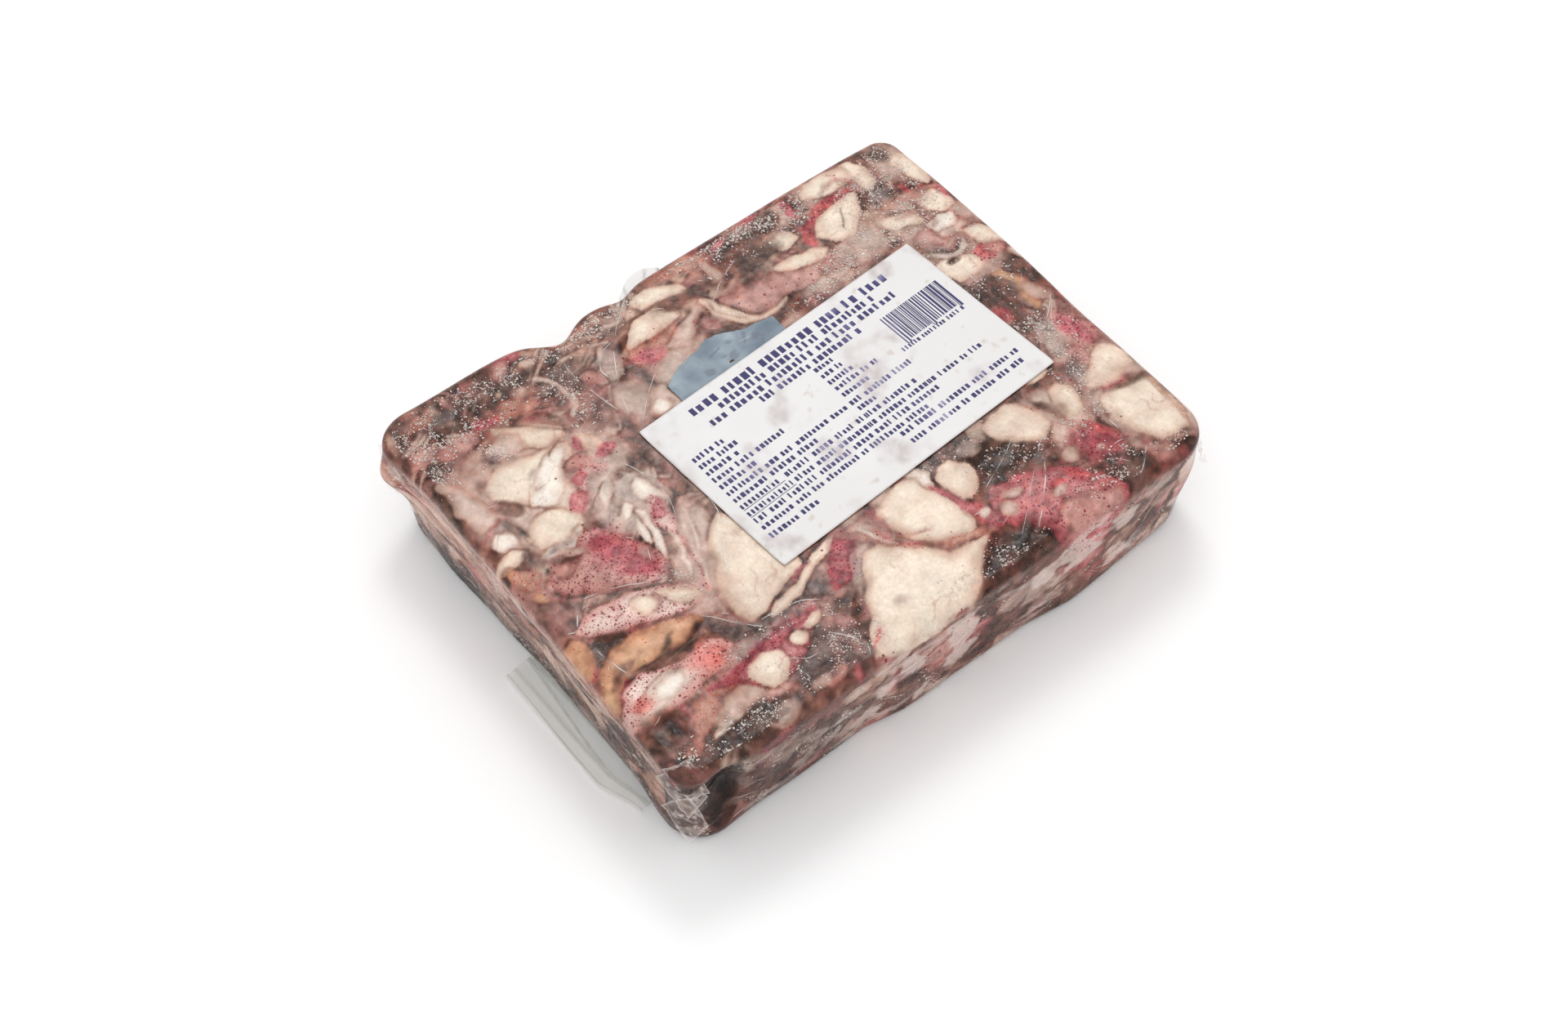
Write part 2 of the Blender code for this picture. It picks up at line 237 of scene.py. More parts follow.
# Pieces with an outline of their own: look, then the corners of a smooth closed curve
OUTLINES = (
    # Soft flesh below the rest
    ("misty", ((50, 36), (52, 46), (60, 50), (66, 46), (66, 38), (58, 34))),
    ("misty", ((66, 32), (68, 48), (78, 48), (80, 36), (74, 30))),
    ("misty", ((80, 28), (80, 46), (90, 48), (91, 30), (86, 24))),
    ("misty", ((78, 58), (80, 70), (88, 70), (91, 58), (84, 52))),
    ("misty", ((30, 36), (38, 46), (48, 44), (48, 34), (40, 34))),
    ("misty", ((54, 62), (54, 71), (72, 72), (78, 64), (70, 58), (60, 60))),
    ("misty", ((12, 52), (22, 58), (34, 62), (44, 64), (36, 56), (24, 51))),
    ("misty", ((-20, 36), (-20, 50), (-8, 50), (2, 44), (0, 38), (-10, 36))),
    ("misty", ((-34, 30), (-34, 44), (-24, 44), (-20, 34), (-26, 28))),
    ("misty", ((70, 12), (72, 24), (84, 22), (90, 12), (80, 8))),
    ("misty", ((72, -28), (74, -14), (84, -12), (90, -24), (82, -32))),
    ("misty", ((68, -44), (70, -30), (90, -28), (91, -66), (78, -68), (70, -56))),
    ("misty", ((52, -50), (52, -30), (62, -30), (70, -38), (68, -48), (60, -50))),
    ("misty", ((-90, 22), (-86, 46), (-76, 50), (-60, 50), (-52, 44), (-54, 22), (-64, 8), (-80, 10))),
    ("misty", ((-58, 18), (-54, 40), (-42, 38), (-38, 24), (-44, 14))),
    ("misty", ((-60, -30), (-50, -6), (-40, 2), (-34, -4), (-44, -30), (-52, -36))),
    # Left, behind
    ("mauve", ((-70, 50), (-62, 50), (-60, 44), (-70, 41), (-74, 45))),
    ("cream", ((-66, 53), (-60, 49), (-55, 46), (-50.5, 41.5), (-51.5, 38.8), (-58, 39), (-63, 42),
               (-66, 48))),
    ("pale", ((-71, 48), (-65, 50), (-61, 46), (-62, 42), (-68, 41), (-72, 44))),
    ("cream", ((-79, 37), (-76, 39.8), (-70, 40), (-62, 38.6), (-55, 38.5), (-52.4, 36), (-52, 33),
               (-54, 30.8), (-57.5, 29), (-59, 26), (-60, 20), (-62, 16), (-64.5, 15.5), (-66.5, 18),
               (-70, 22), (-74, 27), (-77.5, 31))),
    ("pale", ((-89, 45), (-86, 46.5), (-84, 43), (-82, 38), (-80.5, 33), (-80, 28), (-83, 25),
              (-87, 25), (-89, 31))),
    ("rose", ((-62, 20), (-58.5, 20), (-57, 16.5), (-60, 14), (-63.5, 13), (-65, 15.5))),
    ("freckled", ((-59, 24), (-55, 25.5), (-50, 26), (-48, 23), (-53, 21.5), (-58, 19))),
    ("rose", ((-59, 24), (-55, 25), (-54, 22.5), (-58, 20.5))),
    ("cream", ((-79, 17), (-74, 19.5), (-69, 19.5), (-65, 17), (-62.5, 13.5), (-65, 10), (-71, 9.5),
               (-78, 12))),
    ("ivory", ((-88, 20), (-84, 22), (-81, 19.5), (-82, 16), (-86, 16))),
    ("pale", ((-89, 15), (-85, 16), (-82, 14.5), (-84, 11), (-88, 11.5))),
    ("cream", ((-50, 38), (-47.5, 37), (-44.5, 31), (-45.5, 29), (-49, 30))),
    ("blush", ((-57, 30), (-52, 31), (-49.5, 27), (-54, 25.5), (-58, 27))),
    ("pale", ((-42, 37), (-39, 39.5), (-36, 38), (-36, 33), (-40, 30), (-43, 33))),
    ("cream", ((-58, 10), (-53, 13), (-50, 16), (-48.8, 19), (-51, 22), (-55, 19), (-58, 15))),
    ("cream", ((-59, 3), (-56, 8), (-52, 10), (-50.5, 7.5), (-53, 4.5), (-57, 2.6))),
    ("veil", ((-49, 6), (-48, 14), (-44, 16), (-41.5, 12), (-42, 5), (-46, 2))),
    ("ivory", ((-46, 12), (-43, 13.5), (-41, 10), (-41.5, 4), (-43, 2), (-44, 7))),
    ("veil", ((-61, 4), (-60, 14), (-55, 22), (-46, 24), (-40, 18), (-40, 4), (-48, -2), (-56, -1))),
    ("veil", ((-60, 3), (-58, 16), (-52, 23), (-45, 20), (-42, 8), (-50, 0))),
    ("ivory", ((-57, 11), (-53, 13), (-50.5, 17), (-49.5, 21), (-52, 20.5), (-55.6, 16))),
    ("ivory", ((-58.6, 3.4), (-55, 7.4), (-51.6, 9.6), (-51, 7.6), (-53.6, 5))),
    ("ivory", ((-47.6, 8), (-46.4, 13), (-43.4, 14), (-41.8, 9), (-42.4, 3), (-45, 4))),
    ("ivory", ((-51.6, 6), (-49.4, 5), (-48.6, 0), (-50.4, -6), (-53.6, -12), (-57.4, -17.6),
               (-59.6, -17.4), (-55.6, -11), (-52.8, -5), (-51.4, 0))),
    ("ivory", ((-47.8, -5), (-46.4, -4), (-47.4, -12), (-50, -19), (-52.6, -22), (-50.6, -16),
               (-48.6, -10))),
    ("ivory", ((-54.6, 0.6), (-52.6, 3.4), (-51.8, 0), (-53.8, -5.6), (-55, -4))),
    ("ivory", ((-80, 9), (-76, 11), (-71, 9.6), (-66, 11), (-66, 9), (-71, 7), (-77, 6.6))),
    ("pale", ((-84, 8), (-80, 6.6), (-76, 3.4), (-78, 1), (-83, 3))),
    ("ivory", ((-72, 24), (-66, 31), (-60, 36), (-56, 37.4), (-53, 35), (-57, 31), (-61, 24),
               (-66, 20))),
    ("cream", ((-91, 14), (-86, 17), (-82, 16), (-81, 12.6), (-85, 10.4), (-90, 10.6))),
    ("blush", ((-92, 6), (-87, 9), (-84, 4), (-84, -4), (-88, -12), (-92, -12))),
    ("blush", ((-90, 58), (-84, 60), (-78, 57), (-82, 53), (-88, 53))),
    ("blush", ((-46, 46), (-42, 49), (-38, 46), (-38, 40), (-43, 38), (-47, 41))),
    # Behind the middle
    ("mauve", ((-44, 60), (-37, 60), (-31, 54), (-33, 40), (-38, 32), (-45, 40), (-47, 50))),
    ("blush", ((-36, 53), (-33, 54), (-30, 50), (-31, 45), (-35, 45))),
    ("veil", ((-29, 55), (-25, 57), (-22, 52), (-26, 45), (-30, 48))),
    ("rusty", ((-5, 71), (4, 71), (14, 71), (20, 69), (19, 65), (12, 66), (4, 66.5), (-5, 68))),
    ("cream", ((-10, 66.5), (-4, 68), (1, 66.5), (6, 63.5), (6.5, 60.8), (0, 60.5), (-8, 61.5))),
    ("rusty", ((-20, 52), (-12, 53.5), (-4, 54.5), (-1.5, 52), (-5, 48), (-12, 45.5), (-20, 45))),
    ("cream", ((-19.5, 52), (-17, 57), (-12, 59.5), (-5, 59.5), (0, 56.5), (-1, 54), (-5, 53),
               (-12, 51.5))),
    ("crimson", ((-21, 49), (-16, 50), (-11, 48.5), (-12, 45), (-18, 44))),
    ("pale", ((-10, 47), (-5, 50), (1, 52), (6, 54.6), (7, 52), (3, 48.5), (-1, 45.5), (-4, 43.2),
              (-8, 43))),
    ("mauve", ((1, 49), (5, 51), (7.5, 47), (8.5, 42), (4, 41.5), (1, 43))),
    ("blush", ((2, 48), (5, 49.5), (7, 45), (6, 42.5), (2.5, 43.5))),
    ("cream", ((5.5, 55), (8, 54.5), (11, 51), (13, 47), (15.5, 42), (17.5, 40.5), (27, 40),
               (26.5, 38.4), (15, 38.2), (11.5, 40.5), (9.2, 44), (7.8, 49))),
    ("pale", ((-26, 34), (-22, 37.5), (-18.6, 37), (-18.3, 28), (-25, 28), (-29, 31))),
    # Right, behind
    ("pale", ((14.5, 65), (17.5, 66), (18.5, 60), (16.5, 55), (14.4, 57))),
    ("blush", ((12, 50.5), (20, 51.5), (28, 50.5), (36, 47.5), (42, 42), (36, 39.5), (26, 39.8),
               (17, 42), (14, 46))),
    ("cream", ((35.5, 58), (38.5, 61), (43, 60), (44, 56), (40, 54), (36, 55))),
    ("pale", ((41, 62), (44, 68), (49, 69), (49, 64), (45, 60.5))),
    ("cream", ((31, 50.5), (37, 51.5), (44, 49.8), (48.5, 46.5), (45, 44), (39, 46), (33, 47.5))),
    ("pale", ((54, 66), (58, 71), (67, 71), (72, 67), (70, 62), (64, 64), (58, 64))),
    ("cream", ((68, 70), (74, 71), (77, 65), (76, 59), (72.5, 57), (70, 62))),
    ("scarlet", ((46, 57), (52, 60.5), (60, 62.6), (68, 61.5), (69, 59.5), (62, 58.5), (54, 57),
                 (47, 54))),
    ("scarlet", ((44, 53), (47, 59), (49, 58), (48, 51), (46, 49))),
    ("cream", ((48.5, 53), (51, 57.5), (57, 58.6), (62, 59.5), (67.5, 59.5), (66, 55), (62, 49),
               (58, 45.6), (53, 46.2), (50, 48.5))),
    ("pale", ((84, 61), (88, 60), (90, 54), (88, 49.5), (84, 52))),
    ("pale", ((81, 46), (86, 47), (90, 43), (89, 38), (83, 37.5), (80.5, 41))),
    ("pale", ((65, 47), (70, 46.5), (76, 42.5), (78, 38), (73, 36.5), (67, 39))),
    ("blush", ((70, 34), (77, 35.5), (85, 35), (89, 30), (84, 25), (77, 24.5), (71, 28))),
    ("pale", ((78, 34), (84, 34.5), (87, 30), (82, 27), (77, 29))),
    ("cream", ((68, 22), (73, 23), (79, 19.5), (81.5, 15.5), (78, 13), (70, 13.5))),
    ("scarlet", ((80, 20), (85, 21), (88, 17), (85, 13.5), (81, 15))),
    ("pale", ((85, 28), (89, 27), (90, 21), (87, 18), (84.5, 22))),
    ("tan", ((79, 9), (83, 9), (85, 3), (83, -6), (80, -8), (79, 0))),
    ("cream", ((54, 66), (58, 70.6), (66, 71.6), (71, 69.6), (70.6, 64), (66, 62.6), (58, 63.6))),
    ("cream", ((83, 62), (86, 64), (91, 60), (91, 52), (87, 49), (84, 55))),
    ("cream", ((82, 44.6), (86.6, 46.4), (90, 42), (89, 37.6), (84, 36.4), (81, 40))),
    ("cream", ((66.4, 45), (70, 45.4), (76, 42), (78, 38), (73, 37), (67.6, 39.4))),
    ("ivory", ((76, 35.6), (82, 36.6), (86, 34), (83, 31), (78, 31.6))),
    ("cream", ((84, 27.6), (88, 28.6), (91.4, 24), (91, 17), (87.6, 18.6), (85, 23))),
    ("ivory", ((70, 26.6), (73, 22.6), (78, 21), (81.6, 23), (82, 26), (79, 24), (75, 23.6), (72, 28))),
    ("pale", ((41, 39), (46, 44), (52, 46), (54, 42), (50, 38), (44, 36))),
    # Left, in front
    ("skin", ((-82, 1), (-82, -5), (-75, -9.5), (-68, -12.5), (-61, -16), (-57, -17), (-54, -13),
              (-53.8, -8), (-57, -3), (-59, 3), (-63, 8), (-69, 9), (-73, 4.5), (-79, 5))),
    ("crimson", ((-68, 6), (-62, 6.5), (-58, -1), (-55, -9), (-56.5, -15), (-62, -12), (-67, -7),
                 (-69, 0))),
    ("freckled", ((-85, -15), (-80, -12.8), (-70, -14.3), (-62, -17), (-55, -22), (-51.5, -26.5),
                  (-55, -29), (-62, -27.5), (-70, -24.5), (-78, -22.5), (-83, -19.5))),
    ("cream", ((-62, -19), (-57, -21.5), (-52.5, -25.5), (-53, -28.4), (-57, -27), (-60.5, -23))),
    ("tan", ((-92, -18.5), (-87, -16.8), (-85, -20), (-86, -26), (-90, -29.5), (-93, -27))),
    ("dark", ((-84, -21), (-78, -22.5), (-74, -25), (-79, -27), (-85, -27))),
    ("tan", ((-93, -42), (-92, -36), (-89, -31.5), (-85, -28), (-80, -25.5), (-74, -25), (-66, -28),
             (-58, -31), (-57, -33.5), (-61, -36), (-72, -35.5), (-80, -35.5), (-85, -36.5),
             (-88, -39.5), (-91, -43.5))),
    ("freckled", ((-92, -46), (-89, -42), (-85, -37.4), (-79, -37.6), (-73, -39.4), (-66, -39.8),
                  (-60, -39.2), (-57, -41), (-56.4, -44), (-61, -46.6), (-68, -48), (-74, -50),
                  (-80, -51), (-88, -50.5), (-91.5, -49))),
    ("ivory", ((-86, -46), (-81, -42), (-74, -40.6), (-68, -42), (-70, -46), (-77, -48), (-83, -50),
               (-88, -50))),
    ("rusty", ((-85, -63), (-79, -57), (-75, -52), (-66, -49), (-58, -48), (-60, -54), (-70, -57),
               (-77, -61), (-82, -65))),
    ("rose", ((-62, -50.5), (-54, -47.6), (-46, -46.4), (-38, -46.6), (-32, -47.6), (-33, -51),
              (-40, -56), (-47, -60), (-55, -60), (-60, -57))),
    ("wine", ((-70, -51), (-60, -49), (-52, -47.4), (-44, -46.4), (-36, -46.4), (-32, -47.4),
              (-33, -50), (-40, -50.4), (-46, -51.6), (-48, -54), (-54, -50), (-58, -52), (-61, -56),
              (-64, -54))),
    ("blush", ((-62, -60), (-58, -59.5), (-48, -60), (-50, -63), (-58, -63.4))),
    ("pale", ((-77, -65), (-72, -59), (-68, -56), (-62, -55.5), (-58, -59), (-60, -62), (-66, -61.5),
              (-73, -65.5))),
    ("cream", ((-59, -55), (-57, -51.5), (-52, -50.8), (-47.5, -53), (-47, -57), (-51, -60),
               (-56, -60))),
    ("veil", ((-63, -45), (-54, -44), (-46, -44.6), (-46, -47.4), (-56, -48.6), (-62, -48))),
    ("cream", ((-33, -8), (-36, -9), (-41, -14), (-45, -22), (-48.5, -28), (-49.7, -35), (-48, -41),
               (-42, -41), (-34, -38.5), (-29.5, -36.5), (-26, -34), (-30, -18))),
    ("cream", ((-43, -43.5), (-32, -43.2), (-24, -39), (-15, -35.5), (-14, -33.5), (-22, -34.2),
               (-31, -39.6), (-42, -41.8))),
    ("wine", ((-24, -47), (-22.5, -42), (-17, -36), (-13, -33.4), (-11, -35), (-12, -40), (-17, -46),
              (-21, -47.6))),
    ("freckled", ((-48.5, -1), (-47.6, 6), (-44, 7), (-43, 1), (-44.5, -5), (-47, -7))),
    ("rose", ((-48, 1), (-46.5, 5), (-44, 5.5), (-44.5, 0.5))),
    # In front of the middle
    ("veil", ((-20, -48), (-16, -42), (-12, -38), (-9, -41), (-12, -46), (-18, -55), (-22, -58))),
    ("cream", ((-11, -43), (-16, -48), (-20, -55), (-24, -61), (-27.5, -67), (-30, -72), (-24, -74),
               (-10, -75), (0, -74), (5, -71), (12, -65.5), (17, -60.5), (20, -58), (12, -58.4),
               (6, -56), (2, -52), (-2, -47.4), (-6, -43.8))),
    ("cream", ((0, -34), (6, -32), (12, -31), (15.4, -33), (16.4, -37), (18.4, -44), (19.4, -52),
               (17, -56.4), (10, -55.5), (4.4, -52), (0.8, -46), (-1.6, -40))),
    ("ivory", ((13, -30), (17, -29.6), (18.6, -33), (17.6, -38), (15.6, -37), (14.6, -33))),
    ("cream", ((19, -36), (21, -33.4), (25.5, -33), (28.8, -36.5), (29.4, -41), (26.4, -46),
               (22, -47.4), (19.6, -43.5))),
    ("rose", ((16, -36.6), (17.6, -38), (19, -43), (21, -48), (25, -53), (26.4, -57), (24, -59),
              (20.4, -55), (18, -48), (16.6, -42))),
    ("rusty", ((6, -53), (12, -54), (18, -55), (22, -58), (20, -59.4), (14, -57.4), (7, -56))),
    ("blush", ((-14, -33.6), (-4, -33), (0, -36), (-2, -43), (-7, -43.4), (-10, -40))),
    ("pale", ((-10, -34), (-5, -33.4), (-3, -38), (-5, -42.6), (-8, -41))),
    ("mauve", ((-26, -50), (-20, -50), (-22, -58), (-28, -65), (-31, -60), (-30, -53))),
    ("blush", ((-46, -45.6), (-38, -44.4), (-30, -46.4), (-34, -47.4), (-44, -46.8))),
    ("mauve", ((-92, -56), (-86, -52), (-79, -53), (-78, -58), (-84, -62), (-91, -64))),
    ("blush", ((-50, -64), (-44, -66.4), (-36, -65), (-38, -69.6), (-48, -70))),
    ("pale", ((-62, -66), (-56, -64.6), (-52, -67.6), (-57, -71), (-63, -70))),
    # Right, in front
    ("dark", ((29, -33), (34, -37), (41, -37), (45, -43), (50, -46), (46, -50), (38, -50), (31, -47),
              (30, -41))),
    ("dark", ((20, -59), (27, -60), (33, -65), (33, -71), (20, -73), (5, -73), (10, -67))),
    ("cream", ((40.5, -31), (44, -29), (50, -28.4), (53.6, -30), (56.4, -35), (55, -41.5),
               (50.4, -44.6), (45, -42.6), (41, -37.6))),
    ("pale", ((52, -45), (56, -42), (60, -43.6), (59.4, -47.6), (55, -48.6))),
    ("cream", ((60.6, -40), (63.6, -33.4), (67, -32), (69.4, -35.6), (68.4, -41), (65, -45),
               (61, -44.4))),
    ("cream", ((72, -39), (76, -34), (80.6, -31), (86, -29.6), (89.6, -33), (89, -38.4), (82, -41),
               (75, -41.4))),
    ("cream", ((71.6, -45), (76, -43), (84, -42.6), (89, -44.6), (89, -53), (88, -61), (84.6, -66),
               (77, -65.4), (73, -58.6), (70.8, -51))),
    ("crimson", ((55, -48.8), (60, -46.6), (63.4, -46.6), (66, -51), (68.6, -57), (65, -60.6),
                 (60, -59.4), (55.6, -56))),
    ("rose", ((25, -57.4), (26, -51), (29, -48), (35, -48.6), (40, -50.6), (46, -53), (51, -57),
              (55.4, -64), (58.6, -70.4), (54, -75), (46, -79), (38, -80), (33, -74), (32, -67),
              (29.6, -62), (26.4, -61.4))),
    ("blush", ((37, -66), (44, -64), (52, -67), (56, -71), (50, -77), (42, -78), (36, -73))),
    ("crimson", ((80, -15), (84, -13.6), (87.6, -18), (88, -26), (84, -27.4), (81, -21))),
    ("dark", ((70, -8), (76, -2), (78, -10), (76, -14), (71, -13))),
)

# Small rounded pieces: look, centre, half length, half width, heading, and cover where it isn't full
BLOBS = (
    ("grey", -74, 65, 4.5, 2.2, 0), ("rusty", -79, 68, 4, 2, 10), ("rusty", -57, 55, 7.5, 3.6, -12),
    ("rose", -48.5, 70.5, 4, 2.6, 0), ("blush", -53, 68.5, 4, 3, 20),
    ("cream", -45, 66.2, 2.2, 1.4, 10), ("dark", -56.5, 69.8, 0.9, 1.0, 0),
    ("blush", -76, 53.5, 7, 3.2, 10), ("rose", -66, 55.5, 4, 2, -20), ("brown", -69, 60, 8, 2, 5),
    ("pale", -77, 45, 3, 2.6, 60), ("grey", -71, 43.6, 2.2, 1.6, 0), ("smoke", -79, 38.5, 1.8, 1.2, 40),
    ("mauve", -65.6, 32.6, 1.4, 0.9, 30, 0.6), ("mauve", -67, 27, 0.8, 0.6, 0, 0.5),
    ("smoke", -79.6, 21, 1.8, 3.0, 10, 0.7), ("ink", -78.6, 19.6, 0.7, 2.4, 8, 0.6),
    ("grey", -80.6, 22.4, 1.0, 2.0, 0, 0.7), ("grey", -74, 9.2, 4.6, 1.2, 6, 0.7),
    ("ink", -82, 12.2, 1.2, 1.4, 0, 0.6), ("dark", -77.4, 28, 2.6, 5.0, 28, 0.6),
    ("smoke", -81.5, 9, 2.6, 3.2, 30), ("ink", -81, 4.4, 0.9, 1.0, 0), ("rose", -50, 34, 1.2, 3, -10),
    ("rose", -45, 27.6, 3.2, 2.0, 0), ("brown", -40, 18, 3.5, 4, 0), ("dark", -43.5, 18, 2, 1.4, 0),
    ("brown", -47, 18.5, 3, 1.6, 20), ("ivory", -24, 31, 3, 2, 0), ("blush", -76, 1.5, 3.4, 2.2, 10),
    ("pale", -72, 6, 3, 1.6, -40), ("dark", -75, 4.2, 3, 1.0, -10), ("tan", -88, 7, 2, 4, 20),
    ("rusty", -87, 5, 3.4, 4.6, 30), ("mauve", -88, -8, 4, 5, 0), ("tan", -87, -2, 1.6, 2.2, 20),
    ("cream", -67, -20.6, 3.6, 2.5, -10), ("veil", -67, -7.4, 0.8, 0.8, 0),
    ("blush", -57, -7, 1.4, 3, 0), ("brown", -85, -54, 7, 5, 10), ("brown", -83, -34, 5, 1.2, 20),
    ("brown", -52, -42, 6, 2.4, -30), ("dark", -66, -66, 14, 3, 0), ("brown", -48, -66, 12, 3.4, 4),
    ("brown", -26, -55, 3, 6, -20), ("ink", -66, -36.8, 4.2, 1.2, 4), ("ink", -61, -35, 3, 1.2, 20),
    ("ink", -69, -34, 3, 0.7, 30), ("flushed", -63, -43.4, 6.4, 3.6, -8),
    ("flushed", -85, -45, 3.4, 2.8, 0), ("ivory", -76, -44.8, 6, 2.6, 16), ("dark", -84, -55, 5, 4, 0),
    ("dark", -67, -64.5, 7, 2.4, 0), ("cream", -41, -53.4, 2.6, 2.2, 0),
    ("cream", -35, -51.4, 3, 1.8, 10), ("blush", -28.8, -57, 2.8, 2.4, 0),
    ("grey", -27, -43.8, 3, 2.2, 10), ("smoke", -40, -60, 5, 2.4, 20),
    ("mauve", -14.5, -61, 1.4, 1.0, 0, 0.6), ("pale", -44.5, -67.5, 3, 1.6, 0),
    ("veil", -57, -67.5, 4, 2.4, 0), ("smoke", -31, -67.4, 3.4, 3, 10),
    ("ivory", 23, -53, 1.8, 1.4, -30), ("veil", 33, -34, 4, 3, 0), ("pale", 32.5, -52.6, 3, 1.6, -10),
    ("pale", 28.6, -56.6, 2.4, 3.0, 20), ("pale", 42.5, -61, 2.6, 1.8, 0),
    ("scarlet", 50, -59, 4, 2.4, -50), ("scarlet", 43, -58, 3, 1.6, -20),
    ("pale", 53.4, -52.4, 3.2, 2.6, 0), ("scarlet", 66, -51, 1.6, 5, 20),
    ("pale", 61.6, -56.6, 1.2, 1.0, 0), ("brown", 76, 2, 6, 8, 0), ("brown", 88, 4, 3, 10, 0),
    ("brown", 74, -10, 3, 5, 0), ("brown", 84, -44, 6, 1.4, 0), ("brown", 64, -28, 6, 1.6, 0),
    ("brown", 59, -36, 1.4, 4, 20), ("dark", 74, 20.6, 2, 1.2, 0), ("brown", 26, 56, 12, 3.4, 4),
    ("brown", 28, 61, 9, 3, 0), ("dark", 40, 66, 5, 4, 0), ("brown", 4, 58, 9, 2.4, 0),
    ("grey", 74, -32, 2.2, 2.6, 0), ("grey", 77, -14, 2.6, 2.2, 0), ("scarlet", 71.6, -3.6, 2, 3.4, 20),
    ("pale", 85, -3, 2, 5, 20), ("veil", 70.4, -53, 1.2, 3.4, 10), ("veil", 76, -22, 3, 3.6, 0),
    ("blush", 79, -27, 2.4, 4, -10), ("cream", 64, -26, 4, 2, 10), ("grey", 73, 53.5, 3.6, 3.6, 0),
    ("scarlet", 80.6, 51, 1.2, 2.4, 10), ("rose", 89, 44, 1.2, 3, 10),
    ("smoke", 83.5, 66, 2.6, 3.4, 20), ("rose", 48.4, 66, 1.6, 3.2, 10), ("rose", 24, 68.6, 4, 1.6, 10),
    ("rose", 37, 71, 3, 1.2, 0), ("pale", 18.6, 54, 3, 1.0, 20), ("smoke", 33, 63.4, 4, 2, 10),
    ("wine", 14, 32, 2, 3, 0), ("brown", 25, 36, 5, 1.6, 0), ("pale", 24, 32.6, 4.5, 2, 4),
    ("blush", 45, 41, 4, 2.4, -10), ("pale", 90, 12, 2, 3, 0), ("blush", 87, 17, 3, 2.4, 0),
    ("smoke", 74.6, 3.6, 1.6, 1.4, 0), ("brown", 71, 3, 2.6, 4, 0), ("blush", -12, 33, 1, 1, 0),
)

# Threads, cracks and narrow folds: look, width, then the points of a smooth line
LINES = (
    ("brown", 0.5, ((-59.4, 35.4), (-58, 37.4), (-55, 38.2), (-53, 37))),
    ("brown", 0.6, ((-57.4, 28.6), (-54, 30.8), (-51.5, 31), (-50, 30))),
    ("dark", 0.6, ((-66, 53.5), (-60, 49), (-54, 43.5), (-50.4, 40))),
    ("rose", 0.5, ((-88.6, 22), (-85, 23.6), (-82, 25.4), (-79, 24.4))),
    ("dark", 0.8, ((-86.6, 16.6), (-83.6, 16), (-81, 13.6))),
    ("veil", 0.8, ((-54, 14), (-51.6, 18), (-47.6, 19.6), (-45, 17))),
    ("brown", 0.7, ((-60, 12), (-56, 16), (-52, 18.6))),
    ("brown", 0.8, ((-46, -41.6), (-40, -40.6), (-35, -39), (-28, -36.4))),
    ("wine", 0.8, ((-31, -38), (-28, -36.4), (-25, -36.4))),
    ("scarlet", 0.7, ((-46, -8), (-47, -14), (-48.4, -20), (-50.6, -27))),
    ("ivory", 1.0, ((-43, -6), (-45, -12), (-46.6, -18), (-49.6, -25))),
    ("ivory", 0.9, ((-40, -1), (-41, -7), (-43.4, -13), (-47, -18))),
    ("scarlet", 0.9, ((-27.4, -68), (-25.4, -66.6), (-23, -64.6))),
    ("wine", 0.8, ((-30, -71.4), (-20, -73), (-8, -73), (0, -72.6))),
    ("rusty", 1.4, ((-9.4, -35), (-8, -40), (-5, -45), (-1, -48.6), (2, -52))),
    ("scarlet", 0.8, ((-5, -39), (-4, -44), (-1, -48), (3, -51.6))),
    ("rusty", 1.0, ((-0.6, -44), (3, -47), (7.2, -49))),
    ("ivory", 0.8, ((-7, -36), (-6.4, -41), (-3, -46))),
    ("rusty", 0.8, ((54.6, -31), (57.6, -37), (60.4, -43), (61, -47))),
    ("blush", 1.4, ((70, -30), (72, -38), (75, -41.4), (83, -42.2))),
    ("brown", 0.6, ((57, 50), (58.4, 53), (60.6, 56.4))),
    ("blush", 0.8, ((60, 65), (64, 66.6), (68, 65), (70, 61))),
    ("rose", 0.5, ((65.6, 70), (66.4, 67), (67, 64))),
    ("veil", 0.9, ((67, 31), (69.4, 27), (72, 24.4), (76, 22), (80, 22.6), (82, 26))),
    ("brown", 1.4, ((68.6, 31), (71, 27.4), (74, 25), (78, 23.8))),
    ("veil", 0.7, ((71, 32), (73, 28), (76.4, 26), (80, 26.6))),
    ("brown", 0.6, ((66.6, 42), (69, 39.4), (72, 38.6), (75, 36))),
    ("blush", 0.7, ((72, 43), (77, 41.6), (79.4, 38), (79, 34.4), (76, 33.6))),
    ("tan", 0.6, ((88, -46), (87.6, -54), (86, -63))),
    ("wine", 0.7, ((76, -41.8), (80, -42.6), (84, -42))),
    ("rusty", 0.5, ((6.2, 54.4), (4, 51), (1, 48.4))),
    ("rusty", 0.5, ((8, 54), (9.6, 48), (12, 43.4), (14.6, 40))),
    ("brown", 0.7, ((12.6, 48.6), (16, 44.4), (17.6, 41.6))),
    ("pale", 1.6, ((-46, 60), (-43, 54), (-42, 48), (-45, 43))),
    ("veil", 0.8, ((-30, 50), (-32, 45), (-35, 38), (-38, 31))),
    ("brown", 1.0, ((-36, 46), (-31, 46.6), (-27, 44))),
)
